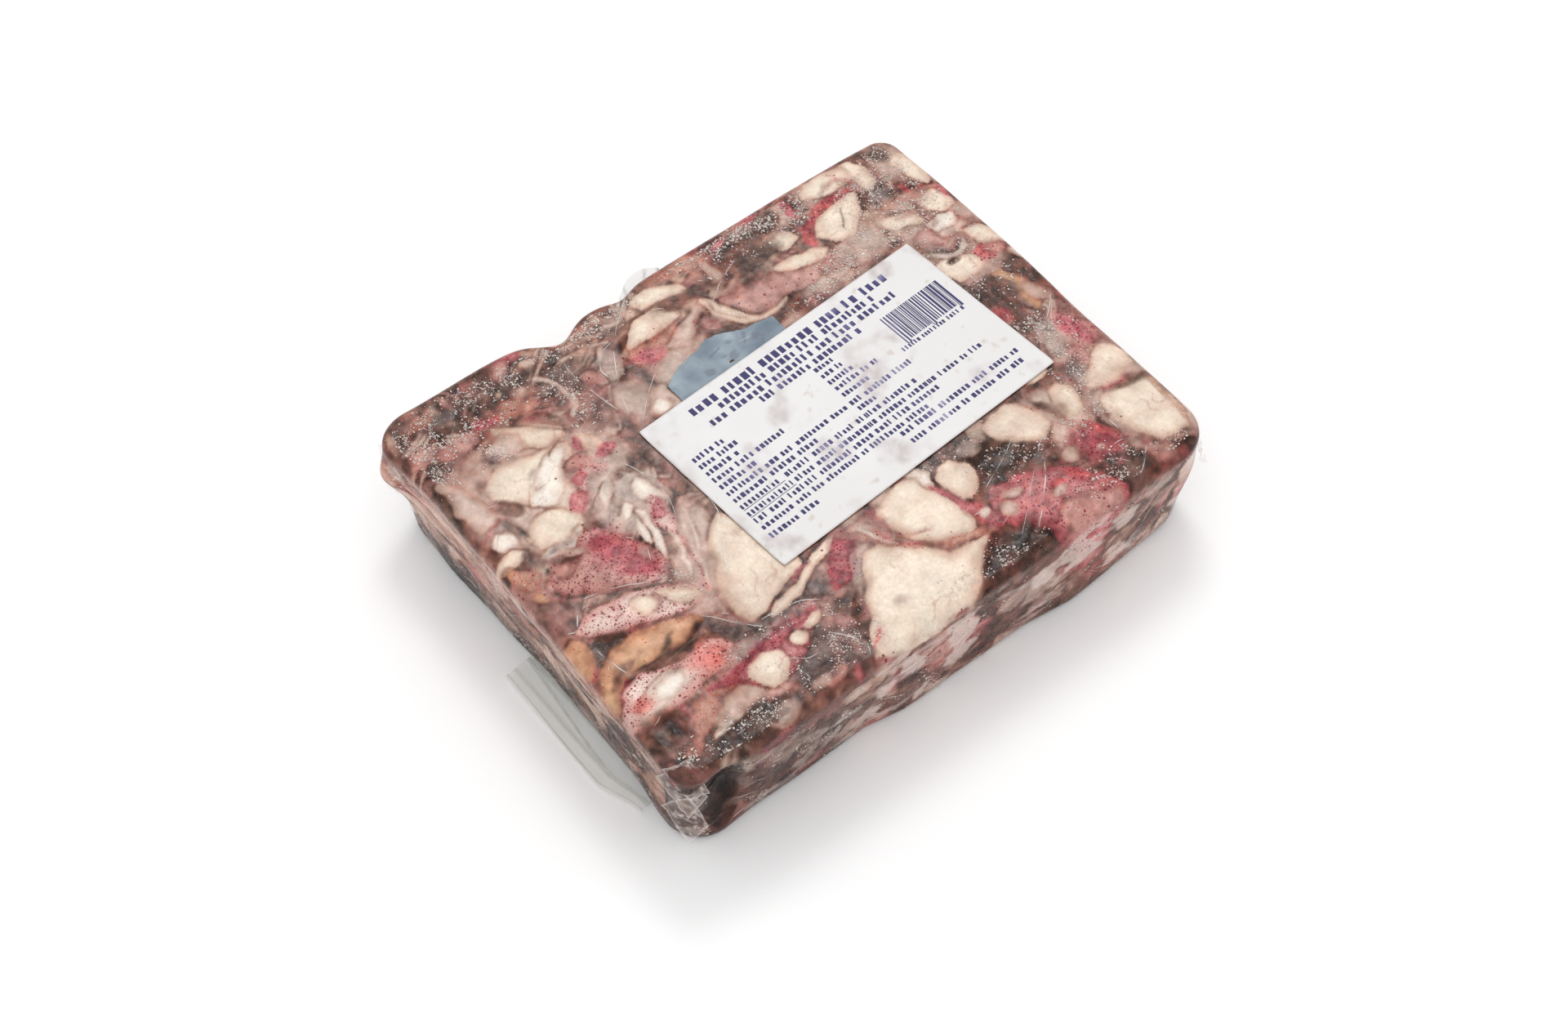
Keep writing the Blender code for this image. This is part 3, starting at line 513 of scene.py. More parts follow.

# Pieces on the front wall: look, x, height, half length, half height, heading, cover as above. The first
# three, at x -80, are painted shade in the hollow of the front left corner
FRONT_BLOBS = (
    ("dark", -80, 22, 6.5, 18, -6), ("ink", -80, 23, 4.8, 13, -6), ("ink", -80, 25, 4.2, 9, -6),
    ("brown", -82, 17, 0.9, 4, 12, 0.8), ("grey", -77, 27, 0.6, 4.4, -14, 0.7),
    ("brown", -79, 30, 0.7, 3, 20, 0.8), ("veil", -75, 18, 0.8, 5, -10), ("smoke", -67, 14, 6, 6, 0),
    ("wine", -64, 33, 5, 2.6, 0), ("blush", -48, 30, 8, 3, 0), ("brown", -50, 18, 9, 4, 5),
    ("pale", -36, 29, 6, 3, 0), ("smoke", -32, 16, 6, 5, 0), ("blush", -8, 24, 13, 7, -5),
    ("cream", -6, 35, 16, 2.6, 0), ("dark", 9, 33, 8, 4, -20), ("mauve", -14, 10, 12, 4, 0),
    ("veil", 22, 22, 10, 5, 10), ("brown", 18, 10, 9, 4, 0), ("veil", 32, 10, 8, 3, 0),
    ("rose", 44, 33, 10, 5, 0), ("rose", 46, 26, 7, 4, 10), ("blush", 57, 10, 5, 4, 0),
    ("brown", 60, 25, 7, 5, 0), ("dark", 76, 14, 1.6, 9, -18), ("veil", 70, 31, 6, 4, 0),
    ("pale", 83, 27, 5, 6, 0), ("smoke", 84, 10, 4, 5, 0),
)

# Pieces on the left wall: look, y, height, half length, half height, heading
LEFT_BLOBS = (
    ("veil", 40, 30, 20, 3.6, 2), ("pale", 52, 22, 10, 3, 0), ("veil", 20, 22, 12, 3, 4),
    ("rose", 14, 30, 7, 1.6, 0), ("rusty", 4, 24, 8, 2.4, 0), ("dark", 45, 5, 18, 5, 0),
    ("smoke", 12, 6, 14, 4, 0), ("dark", -36, 20, 18, 8, 4), ("brown", -14, 14, 12, 6, 0),
    ("tan", -36, 33, 5, 2.2, 0), ("pale", -46, 32, 4, 2.4, 0), ("veil", -30, 6, 20, 3.4, 0),
    ("veil", -58, 14, 8, 6, 0), ("dark", -66, 24, 5, 9, 0),
)

# Where frost lies under the film on the top: centre, half length, half width, strength
FROST = (
    (-75, 62, 18, 9, 0.9), (-50, 65, 20, 6, 0.6), (-20, 66, 13, 5, 0.7), (30, 68, 24, 6, 0.95),
    (25, 60, 10, 4, 0.35), (46, 62, 12, 6, 0.6), (57, 40, 15, 6, 1.0), (40, 36, 14, 4, 0.6),
    (76, 52, 15, 17, 0.6), (80, 30, 10, 14, 0.3), (76, -18, 8, 12, 0.8), (72, -34, 5, 8, 0.6),
    (60, -46, 14, 4, 0.5), (60, -65, 13, 7, 0.45), (18, -69, 20, 6, 0.65), (-40, -62, 15, 6, 0.55),
    (-72, -66, 22, 5, 0.65), (-48, -46, 15, 3, 0.4), (-43, 50, 6, 12, 0.7), (-86, 50, 5, 14, 0.65),
    (-70, 45, 6, 4, 0.7), (36, -42, 9, 8, 0.4), (-54, -20, 4, 6, 0.5), (-30, -56, 7, 6, 0.3),
    (22, -31, 16, 3, 0.3), (84, -70, 10, 5, 0.7), (78, 8, 10, 5, 0.5), (-66, 58, 10, 5, 0.6),
)

# Creases of the film on the top, whitish and partly painted highlight: width, haze, then the points
# of a smooth line
CREASES = (
    (1.6, 0.36, ((-10, 69), (-18, 62), (-24, 55), (-29, 47), (-33, 38), (-35, 31))),
    (2.4, 0.30, ((-20, 42), (-26, 37), (-32, 31), (-36, 27))),
    (0.6, 0.45, ((-22, 57), (-27, 55), (-30, 51), (-30, 47))),
    (0.5, 0.35, ((-36.5, 61), (-37, 52), (-36, 45), (-34.6, 36))),
    (0.7, 0.30, ((-34, 28), (-33.6, 10), (-33, -6), (-38, -16), (-44, -26))),
    (1.2, 0.30, ((-45, 20), (-43, 15), (-42, 6), (-44, -2))),
    (0.6, 0.55, ((-84.6, -24), (-84, -29), (-82.4, -36))),
    (0.7, 0.35, ((-91, -12), (-86, -16), (-82, -12), (-78, -11))),
    (1.8, 0.34, ((-79, -10), (-70, -12.6), (-62, -16.4), (-57, -18))),
    (0.5, 0.50, ((-57, -32), (-53, -37), (-49, -42), (-46, -45))),
    (1.6, 0.28, ((-46, -44), (-40, -44.6), (-34, -46), (-30, -49))),
    (1.0, 0.36, ((28, -47.6), (34, -45), (40, -42), (44, -40))),
    (0.9, 0.42, ((26, -65), (32, -60), (38, -55), (44, -50), (50, -45))),
    (0.5, 0.38, ((30, -66), (37, -60), (43, -54), (47, -49))),
    (0.8, 0.45, ((79, -16), (84, -10.6), (88, -6), (92, -2))),
    (0.5, 0.40, ((80, -13), (85, -9), (90, -4))),
    (0.6, 0.40, ((-34, -57), (-31, -61), (-29, -66), (-31, -70))),
    (1.4, 0.26, ((-48, -58), (-42, -61), (-34, -60))),
    (0.7, 0.32, ((-90, 42), (-91, 20), (-92, -2), (-91, -30), (-92, -52))),
    (0.5, 0.25, ((8, 50), (16, 56), (24, 60))),
    (2.0, 0.20, ((40, -30), (42, -32), (43, -35))),
    (0.5, 0.3, ((60, -72), (66, -68), (71, -64))),
)

# Random scraps of the top, in painting order: number, box, looks, half lengths, seed, cover
LARGE = ("pale", "blush", "veil", "mauve", "cream", "brown")
BUSY = (
    "cream", "pale", "blush", "brown", "mauve", "rose", "dark", "veil", "brown", "rusty", "dark", "pale",
)
QUIET = ("mauve", "brown", "veil", "blush", "brown", "rose", "mauve", "dark")
TOP_SCRAPS = (
    (150, (-92, -76), (92, 73), LARGE, (4.0, 9.0), 30, 0.8),
    (300, (-92, 44), (92, 73), BUSY, (0.8, 4.0), 31, 0.9),
    (190, (66, -30), (92, 60), BUSY, (0.8, 4.0), 32, 0.9),
    (80, (28, 30), (70, 52), BUSY, (0.8, 4.0), 33, 0.8),
    (300, (-92, -74), (-30, 40), QUIET, (0.8, 4.5), 34, 0.8),
    (200, (-30, -76), (92, -28), QUIET, (0.8, 4.5), 35, 0.75),
)

# Bundles of thin arms on the top: number, box, seed
TOP_ARMS = (
    (34, (-92, 44), (92, 73), 36),
    (16, (66, -30), (92, 60), 37),
    (30, (-62, -30), (-34, 30), 38),
    (14, (-92, -74), (-60, 40), 39),
    (12, (-30, -76), (92, -28), 40),
)

# Looks of the scraps on the walls and on the underside
WALL_LOOKS = ("pale", "cream", "blush", "brown", "mauve", "rose", "dark", "veil", "pale", "brown", "dark")
BASE_LOOKS = (
    "cream", "cream", "pale", "blush", "brown", "mauve", "rose", "dark", "skin", "freckled", "veil",
)


def smoothstep(value):
    """Runs smoothly from 0 to 1 as the value does."""
    value = np.clip(value, 0.0, 1.0)
    return value * value * (3.0 - 2.0 * value)


def turned(dx, dy, heading):
    """A step's parts along and across a heading in degrees."""
    turn = np.radians(heading)
    return dx * np.cos(turn) + dy * np.sin(turn), dy * np.cos(turn) - dx * np.sin(turn)


def lattice(cell, seed):
    """A random value from 0 to 1 for each corner of a lattice."""
    mixed = cell[:, 0] * 73856093 ^ cell[:, 1] * 19349663 ^ cell[:, 2] * 83492791 ^ seed * 50331653
    mixed = (mixed ^ (mixed >> 13)) & 0xFFFFFFFF
    mixed = (mixed * 1274126177) & 0xFFFFFFFF
    return ((mixed ^ (mixed >> 15)) & 0xFFFF) / 65535.0


def cloud(points, size, seed):
    """Smooth noise from -1 to 1 with bumps of about the given size."""
    tilt = Matrix.Rotation(0.7 + seed, 3, Vector((1.0, 2.0, 0.6)).normalized())
    place = points @ np.array(tilt) / size
    cell = np.floor(place).astype(np.int64)
    part = smoothstep(place - cell)
    total = np.zeros(len(points))
    for corner in itertools.product((0, 1), repeat=3):
        weight = np.prod(np.where(np.array(corner) == 1, part, 1.0 - part), axis=1)
        total += weight * lattice(cell + np.array(corner), seed)
    return total * 2.0 - 1.0


def fractal(points, size, seed, octaves=3):
    """Noise with finer and finer bumps, each half as strong as the last."""
    total = np.zeros(len(points))
    for octave in range(octaves):
        total += cloud(points, size / 2 ** octave, seed + 17 * octave) / 2 ** octave
    return total / (2.0 - 0.5 ** (octaves - 1))


def drift(points, size, seed, octaves=3):
    """Noise in two directions."""
    return np.stack([fractal(points, size, seed + k, octaves) for k in (0, 1)], axis=1)


def shift(colour, shade, share):
    """Moves colours towards a shade, in place, by a share from 0 to 1."""
    colour += (np.array(shade) - colour) * share[:, None]


def box_distance(x, y, half_x, half_y):
    """How far a point lies outside a box, 0 inside it."""
    return np.maximum(np.maximum(np.abs(x) - half_x, np.abs(y) - half_y), 0.0)


def label_frame(x, y):
    """A point's place along and across the label, from the label's centre."""
    return turned(x - LABEL_CENTRE[0], y - LABEL_CENTRE[1], LABEL_TURN)


def from_label(along, across):
    """The point at a place along and across the label."""
    turn = np.radians(LABEL_TURN)
    x = LABEL_CENTRE[0] + along * np.cos(turn) - across * np.sin(turn)
    return x, LABEL_CENTRE[1] + along * np.sin(turn) + across * np.cos(turn)


def under_label(x, y, margin=5.0, reach=6.0):
    """1 under the label and close to it, falling to 0 around it."""
    along, across = label_frame(x, y)
    outside = box_distance(along, across, LABEL_LENGTH / 2 + margin, LABEL_WIDTH / 2 + margin)
    return 1.0 - smoothstep(outside / reach)


def under_tag(x, y):
    """1 where the tag lies, falling to 0 around it."""
    return 1.0 - smoothstep(box_distance(x - 1.0, y - 32.5, 24.0, 14.5) / 6.0)


def sag(x, y):
    """The slow wave of the top."""
    turn = 2.0 * np.pi / SAG_LENGTH
    return SAG * np.sin(turn * x + 0.6) * np.cos(turn * y * 0.8)


def swells(x, y):
    """How far the swells and hollows lift the top."""
    rise = np.zeros_like(x)
    for cx, cy, half_long, half_wide, heading, height in TOP_FORMS:
        along, across = turned(x - cx, y - cy, heading)
        fill = np.maximum(1.0 - (along / half_long) ** 2 - (across / half_wide) ** 2, 0.0)
        rise += height * fill * (2.0 - fill)
    return rise * (1.0 - np.maximum(under_label(x, y), under_tag(x, y))) + sag(x, y)


def ring_point(x, y, inset=None):
    """A point of the inner rectangle's edge, moved out to the outline less an inset."""
    radius = np.select(
        [(x <= 0) & (y <= 0), (x > 0) & (y <= 0), (x <= 0) & (y > 0)],
        [CORNER_RADIUS[-1, -1], CORNER_RADIUS[1, -1], CORNER_RADIUS[-1, 1]],
        CORNER_RADIUS[1, 1],
    )
    base_x = np.clip(x, radius - HALF_LENGTH, HALF_LENGTH - radius)
    base_y = np.clip(y, radius - HALF_WIDTH, HALF_WIDTH - radius)
    dx = x - base_x
    dy = y - base_y
    size = np.hypot(dx, dy)
    length = np.maximum(np.abs(dx), np.abs(dy)) if inset is None else radius - inset
    scale = np.where(size > 0, length / np.maximum(size, 1e-9), 0.0)
    return base_x + dx * scale, base_y + dy * scale


def push_walls(x, y, z):
    """Moves points of the straight-walled block to their place on the real form."""
    low = 1.0 - z / HEIGHT
    left = np.interp(y, [row[0] for row in LEFT_FOOT], [row[1] for row in LEFT_FOOT])
    front = np.interp(x, [row[0] for row in FRONT_FOOT], [row[1] for row in FRONT_FOOT])
    new_x = x * (1.0 - np.where(x < 0, left, SIDE_DRAFT) * low / HALF_LENGTH)
    new_y = y * (1.0 - np.where(y < 0, front, SIDE_DRAFT) * low / HALF_WIDTH)
    for cx, cy, cz, reach, reach_z, push_x, push_y in WALL_FORMS:
        near = ((x - cx) ** 2 + (y - cy) ** 2) / reach ** 2 + ((z - cz) / reach_z) ** 2
        weight = np.exp(-near)
        new_x += push_x * weight
        new_y += push_y * weight
    edge = np.minimum(HALF_LENGTH - np.abs(x), HALF_WIDTH - np.abs(y))
    ripple = RIPPLE * (1.0 - smoothstep(edge / 12.0))
    for k in np.nonzero(ripple > 0.001)[0]:
        place = Vector((x[k], y[k], z[k])) * RIPPLE_SCALE
        other = Vector((y[k], z[k], x[k])) * RIPPLE_SCALE + Vector((7.0, 3.0, 1.0))
        new_x[k] += ripple[k] * noise.noise(place)
        new_y[k] += ripple[k] * noise.noise(other)
    return new_x, new_y


def smooth_curve(corners, closed, steps=5, round_share=1.0):
    """Points of a curve through the corners, straight between them where round_share is 0."""
    corners = np.array(corners, float)
    count = len(corners)
    spans = count if closed else count - 1
    out = []
    for k in range(spans):
        spots = np.arange(k - 1, k + 3)
        spots = spots % count if closed else np.clip(spots, 0, count - 1)
        before, start, end, after = corners[spots]
        for t in np.arange(steps) / steps:
            bend = (after - 3 * end + 3 * start - before) * t ** 3
            bend += (2 * before - 5 * start + 4 * end - after) * t ** 2
            smooth = 0.5 * (bend + (end - before) * t + 2 * start)
            out.append(round_share * smooth + (1.0 - round_share) * (start + (end - start) * t))
    if not closed:
        out.append(corners[-1])
    return np.array(out)


def line_distance(points, curve):
    """How far points lie from a run of short straight pieces."""
    nearest = np.full(len(points), 1e9)
    for start, end in zip(curve, curve[1:]):
        step = end - start
        part = np.clip((points - start) @ step / max(step @ step, 1e-9), 0.0, 1.0)
        nearest = np.minimum(nearest, np.hypot(*(points - start - part[:, None] * step).T))
    return nearest


def outline_depth(points, corners):
    """How far points lie inside a smooth closed outline, below 0 outside it."""
    curve = smooth_curve(corners, True, 5, 0.5)
    ring = np.vstack((curve, curve[:1]))
    inside = np.zeros(len(points), bool)
    for (ax, ay), (bx, by) in zip(ring, ring[1:]):
        if ay == by:
            continue
        crosses = (ay > points[:, 1]) != (by > points[:, 1])
        inside ^= crosses & (points[:, 0] < (bx - ax) * (points[:, 1] - ay) / (by - ay) + ax)
    return line_distance(points, ring) * np.where(inside, 1.0, -1.0)


class Canvas:
    """Colours and marks of points, painted one form over another on a flat pair of coordinates."""

    def __init__(self, flat, colour):
        self.flat = flat
        self.colour = colour
        self.dots = np.zeros(len(flat))
        self.rust = np.zeros(len(flat))
        self.frost = np.zeros(len(flat))
        self.rise = np.zeros(len(flat))
        spread = np.column_stack((flat, np.zeros(len(flat))))
        self.blur = 1.25 * np.exp(2.0 * fractal(spread, 6.0, 201))
        self.flush = smoothstep(fractal(spread, 6.5, 202) * 1.8 + 0.1)

    def near(self, low, high):
        """The points in a box."""
        return np.nonzero(np.all((self.flat > low) & (self.flat < high), axis=1))[0]

    def lay(self, chosen, depth, look, cover=1.0):
        """Paints a look on the chosen points, which lie depth mm inside its edge, with a painted shadow
        just outside it.
        """
        mask = smoothstep(depth / (look.soft * self.blur[chosen]) + 0.5)
        halo = 0.10 * np.exp(np.minimum(depth, 0.0) / 1.6)
        mask = np.maximum(mask, np.where(depth < 0, halo, 0.0)) * look.cover * cover
        # Where the rim colour is darker than the core, it is partly painted shade that rounds the piece
        inner = np.maximum(depth, 0.0)
        rim = np.exp(-inner / (look.rim_width * self.blur[chosen]))
        rim = np.maximum(rim, 0.26 * self.flush[chosen])[:, None]
        # Painted shadow: a thin ring just outside the piece's edge is darkened by the piece's rise; a rise
        # below 0 lightens it instead
        painted_edge_shadow = np.exp(-((depth + 0.45) / 0.5) ** 2) * look.rise * cover
        dim = painted_edge_shadow * smoothstep(1.6 - self.blur[chosen])
        self.colour[chosen] *= 1.0 - dim[:, None] * np.array((0.8, 1.05, 1.1))
        core = np.array(look.core, float)
        colour = core + (np.array(look.rim, float) - core) * rim
        self.colour[chosen] += (colour - self.colour[chosen]) * mask[:, None]
        swell = look.rise * (1.0 - np.exp(-inner / 1.2))
        for field, value in (
            (self.dots, look.dots), (self.rust, look.rust), (self.frost, look.frost), (self.rise, swell),
        ):
            field[chosen] += (value - field[chosen]) * mask

    def tone(self, cx, cy, half_long, half_wide, heading, colour):
        """Shades a soft patch of the ice between the pieces."""
        along, across = turned(self.flat[:, 0] - cx, self.flat[:, 1] - cy, heading)
        mask = np.exp(-((along / half_long) ** 2 + (across / half_wide) ** 2) ** 1.5)
        shift(self.colour, ICE_DEPTH * np.array(colour, float), mask)

    def outline(self, look, corners):
        """Paints a piece that has an outline of its own."""
        corners = np.array(corners, float)
        chosen = self.near(corners.min(0) - 4.0, corners.max(0) + 4.0)
        if len(chosen):
            self.lay(chosen, outline_depth(self.flat[chosen], corners), LOOKS[look])

    def blob(self, look, cx, cy, half_long, half_wide, heading, cover=1.0):
        """Paints a small rounded piece."""
        reach = max(half_long, half_wide) * 1.3 + 2.0
        chosen = self.near(np.array((cx, cy)) - reach, np.array((cx, cy)) + reach)
        if len(chosen):
            along, across = turned(self.flat[chosen, 0] - cx, self.flat[chosen, 1] - cy, heading)
            out = np.hypot(along / half_long, across / half_wide)
            self.lay(chosen, (1.0 - out) * min(half_long, half_wide), LOOKS[look], cover)

    def line(self, look, width, corners, cover=0.8):
        """Paints a thread or a narrow fold."""
        corners = np.array(corners, float)
        chosen = self.near(corners.min(0) - 4.0, corners.max(0) + 4.0)
        if len(chosen):
            depth = width / 2 - line_distance(self.flat[chosen], smooth_curve(corners, False))
            thin = LOOKS[look]._replace(soft=0.7, rim_width=0.4)
            self.lay(chosen, np.maximum(depth, -1.2), thin, np.where(depth > -1.2, cover, 0.0))

    def scatter(self, count, low, high, looks, sizes, seed, cover=0.6, swing=90.0):
        """Paints small random pieces in a box."""
        draw = np.random.default_rng(seed)
        for _ in range(count):
            cx, cy = draw.uniform(low, high)
            half_long = draw.uniform(*sizes)
            half_wide = half_long * draw.uniform(0.3, 0.8)
            look = looks[draw.integers(len(looks))]
            self.blob(look, cx, cy, half_long, half_wide, draw.uniform(-swing, swing),
                      cover * draw.uniform(0.5, 1.0))

    def arms(self, count, low, high, seed):
        """Paints bundles of thin curved arms in a box."""
        draw = np.random.default_rng(seed)
        for _ in range(count):
            start = draw.uniform(low, high)
            heading = draw.uniform(0, 2 * np.pi)
            bend = draw.uniform(-0.16, 0.16)
            length = draw.uniform(5.0, 13.0)
            look = ("ivory", "pale", "blush", "veil", "pale")[draw.integers(5)]
            width = draw.uniform(0.7, 1.4)
            for strand in range(draw.integers(2, 5)):
                points = [start + strand * 1.3 * width * np.array((-np.sin(heading), np.cos(heading)))]
                turn = heading + draw.uniform(-0.15, 0.15)
                for _ in range(4):
                    turn += bend * length / 4
                    points.append(points[-1] + length / 4 * np.array((np.cos(turn), np.sin(turn))))
                self.line("brown", width * 1.5, points, 0.5)
                self.line(look, width, points, 0.8)

    def finish(self, place, seed, depth=1.6):
        """Adds the mottling and thin veins of all flesh and ice, and deepens the darks."""
        light = 1.0 + 0.03 * fractal(place, 2.2, seed) + 0.05 * fractal(place, 7.0, seed + 3)
        dim = 1.0 - self.colour.mean(axis=1) / 255.0
        light += (dim * dim) * depth * fractal(place, 2.4, seed + 5)
        redder = fractal(place, 8.0, seed + 7)[:, None] * np.array((5.0, -4.0, -4.0))
        self.colour += redder * dim[:, None] * 2.0
        self.colour *= light[:, None]
        pink = smoothstep(fractal(place, 8.0, seed + 13) * 1.8 - 0.1) * smoothstep(1.3 - 3.0 * dim)
        shift(self.colour, (214, 180, 166), 0.42 * pink)
        vein = np.exp(-(cloud(place, 3.4, seed + 9) / 0.05) ** 2)
        shift(self.colour, (150, 96, 86), 0.35 * (vein * smoothstep(cloud(place, 9.0, seed + 11) * 1.5)))
        self.colour -= 0.14 * np.maximum(150.0 - self.colour, 0.0)
        np.clip(self.colour, 0, 255, out=self.colour)

    def paints(self):
        """The colours as linear light and the marks, for a mesh."""
        marks = np.stack((self.dots, self.rust, self.frost), axis=1)
        return {"paint": FLESH_GAIN * linear(self.colour), "marks": marks}


def linear(colour):
    """Display colours from 0 to 255 as linear light."""
    share = np.clip(np.asarray(colour, float) / 255.0, 0.0, 1.0)
    return np.where(share <= 0.04045, share / 12.92, ((share + 0.055) / 1.055) ** 2.4)


def new_mesh(name, points, faces, look, paints=None):
    """A smooth mesh object from points in mm, with its painted attributes."""
    mesh = bpy.data.meshes.new(name)
    faces = np.asarray(faces, np.int32)
    count, sides = faces.shape
    mesh.vertices.add(len(points))
    mesh.vertices.foreach_set("co", (np.asarray(points) * MM).astype(np.float32).ravel())
    mesh.loops.add(count * sides)
    mesh.loops.foreach_set("vertex_index", faces.ravel())
    mesh.polygons.add(count)
    mesh.polygons.foreach_set("loop_start", np.arange(0, count * sides, sides, dtype=np.int32))
    mesh.update(calc_edges=True)
    mesh.validate()
    for title, values in (paints or {}).items():
        values = np.asarray(values, float)
        full = np.ones((len(points), 4))
        full[:, :values.shape[1]] = values
        layer = mesh.attributes.new(title, "FLOAT_COLOR", "POINT")
        layer.data.foreach_set("color", full.astype(np.float32).ravel())
    mesh.shade_smooth()
    mesh.materials.append(look)
    thing = bpy.data.objects.new(name, mesh)
    bpy.context.scene.collection.objects.link(thing)
    return thing


def declare(thing, slot, *nodes):
    """Attaches a piece to the root and hides the CAD nodes it stands for."""
    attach(thing, "root")
    if nodes:
        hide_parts(*nodes)


def grid_faces(columns, rows, first=0):
    """Quads of a grid of points stored column by column."""
    i, j = np.meshgrid(np.arange(columns - 1), np.arange(rows - 1), indexing="ij")
    corner = (first + i * rows + j).ravel()
    return np.stack((corner, corner + rows, corner + rows + 1, corner + 1), axis=1)


class Graph:
    """Short calls for the nodes of one material."""

    def __init__(self, name):
        self.material = bpy.data.materials.new(name)
        self.material.use_nodes = True
        self.nodes = self.material.node_tree.nodes
        self.shader = self.nodes["Principled BSDF"]

    def put(self, socket, value):
        """Links a socket to an input, or sets the input to a number."""
        if isinstance(value, bpy.types.NodeSocket):
            self.material.node_tree.links.new(value, socket)
        else:
            socket.default_value = value

    def surface(self, title, value):
        """Links or sets an input of the surface."""
        self.put(self.shader.inputs[title], value)

    def math(self, operation, first, second=0.0):
        """A number worked out from one or two others."""
        node = self.nodes.new("ShaderNodeMath")
        node.operation = operation
        self.put(node.inputs[0], first)
        self.put(node.inputs[1], second)
        return node.outputs[0]

    def span(self, value, low, high, start=0.0, end=1.0):
        """A number moved smoothly from one span to another."""
        node = self.nodes.new("ShaderNodeMapRange")
        node.interpolation_type = "SMOOTHSTEP"
        titles = ("Value", "From Min", "From Max", "To Min", "To Max")
        for title, item in zip(titles, (value, low, high, start, end)):
            self.put(node.inputs[title], item)
        return node.outputs["Result"]

    def mix(self, share, first, second):
        """One colour blended into another."""
        node = self.nodes.new("ShaderNodeMix")
        node.data_type = "RGBA"
        self.put(node.inputs[0], share)
        self.put(node.inputs[6], first)
        self.put(node.inputs[7], second)
        return node.outputs[2]

    def paint(self, title):
        """A painted attribute."""
        node = self.nodes.new("ShaderNodeAttribute")
        node.attribute_name = title
        return node.outputs["Color"]

    def parts(self, colour):
        """The three parts of a colour."""
        node = self.nodes.new("ShaderNodeSeparateColor")
        self.put(node.inputs[0], colour)
        return node.outputs[0], node.outputs[1], node.outputs[2]

    def place(self):
        """The point in the object's own space."""
        return self.nodes.new("ShaderNodeTexCoord").outputs["Object"]

    def cells(self, size):
        """Distance to the nearest random point and that point's random colour; size in mm."""
        node = self.nodes.new("ShaderNodeTexVoronoi")
        self.put(node.inputs["Vector"], self.place())
        self.put(node.inputs["Scale"], 1.0 / (size * MM))
        return node.outputs["Distance"], node.outputs["Color"]

    def grain(self, size, detail=2.0):
        """Noise from 0 to 1; size in mm."""
        node = self.nodes.new("ShaderNodeTexNoise")
        self.put(node.inputs["Vector"], self.place())
        self.put(node.inputs["Scale"], 1.0 / (size * MM))
        self.put(node.inputs["Detail"], detail)
        return node.outputs[0]

    def bump(self, height, depth):
        """A bump of the given depth in mm."""
        node = self.nodes.new("ShaderNodeBump")
        self.put(node.inputs["Distance"], depth * MM)
        self.put(node.inputs["Height"], height)
        self.surface("Normal", node.outputs[0])


def colour_of(*shades):
    """A display colour as a material's colour."""
    return (*linear(shades), 1.0)


def squid_material():
    """Flesh, skin and ice: painted colour with colour cells, frost grains and a wet gloss."""
    g = Graph("frozen_squid_looks")
    dots, rust, frost = g.parts(g.paint("marks"))
    colour = g.paint("paint")
    for size, share, shade, reach in (
        (0.98, dots, (108, 22, 42), 0.43),
        (0.55, dots, (146, 34, 56), 0.42),
        (0.7, rust, (176, 76, 48), 0.42),
    ):
        distance, chance = g.cells(size)
        drawn, spread, _ = g.parts(chance)
        edge = g.math("MULTIPLY", g.math("ADD", spread, 0.4), reach)
        spot = g.span(distance, edge, g.math("MULTIPLY", edge, 0.55))
        spot = g.math("MULTIPLY", spot, g.math("LESS_THAN", drawn, share))
        colour = g.mix(g.math("MULTIPLY", spot, 0.85), colour, colour_of(*shade))
    edge = g.math("SUBTRACT", 0.74, g.math("MULTIPLY", frost, 0.24))
    fleck = g.span(g.grain(0.75, 3.0), edge, g.math("ADD", edge, 0.03))
    grains = g.math("MULTIPLY", fleck, g.math("GREATER_THAN", frost, 0.03))
    colour = g.mix(g.math("MULTIPLY", grains, 0.74), colour, colour_of(230, 212, 200))
    shade = g.span(g.grain(0.9, 5.0), 0.28, 0.72, 0.93, 1.06)
    scaled = g.nodes.new("ShaderNodeVectorMath")
    scaled.operation = "SCALE"
    g.put(scaled.inputs[0], colour)
    g.put(scaled.inputs["Scale"], shade)
    g.surface("Base Color", scaled.outputs[0])
    g.surface("Roughness", g.span(g.grain(1.6), 0.3, 0.7, 0.16, 0.38))
    g.surface("Specular IOR Level", 0.15)
    height = g.math("ADD", g.math("MULTIPLY", g.grain(3.0, 3.0), 0.6), g.math("MULTIPLY", grains, 0.4))
    g.bump(height, 0.30)
    return g.material


def film_material(name, least, dull=(208, 190, 182), wrinkle=0.5):
    """Clear film: least is the cover of flat film, whitish where it creases, partly as painted glint."""
    g = Graph(name)
    haze_and_glint, whiteness_and_glint, _ = g.parts(g.paint("marks"))
    g.surface("Base Color", g.mix(whiteness_and_glint, colour_of(*dull), colour_of(246, 241, 238)))
    g.surface("Roughness", 0.16)
    g.surface("Specular IOR Level", 0.3)
    g.surface("Alpha", g.math("MAXIMUM", haze_and_glint, least))
    g.bump(g.grain(2.4, 3.0), wrinkle)
    return g.material


def film_marks(haze_and_glint, whiteness_and_glint):
    """The painted attribute of a film: how much it covers and how bright it is, partly as painted glint."""
    return {"marks": np.stack((haze_and_glint, whiteness_and_glint, np.zeros(len(haze_and_glint))), axis=1)}


def paper_material(name, rough):
    """Painted paper."""
    g = Graph(name)
    g.surface("Base Color", g.paint("paint"))
    g.surface("Roughness", rough)
    g.bump(g.grain(0.9, 4.0), 0.06)
    return g.material


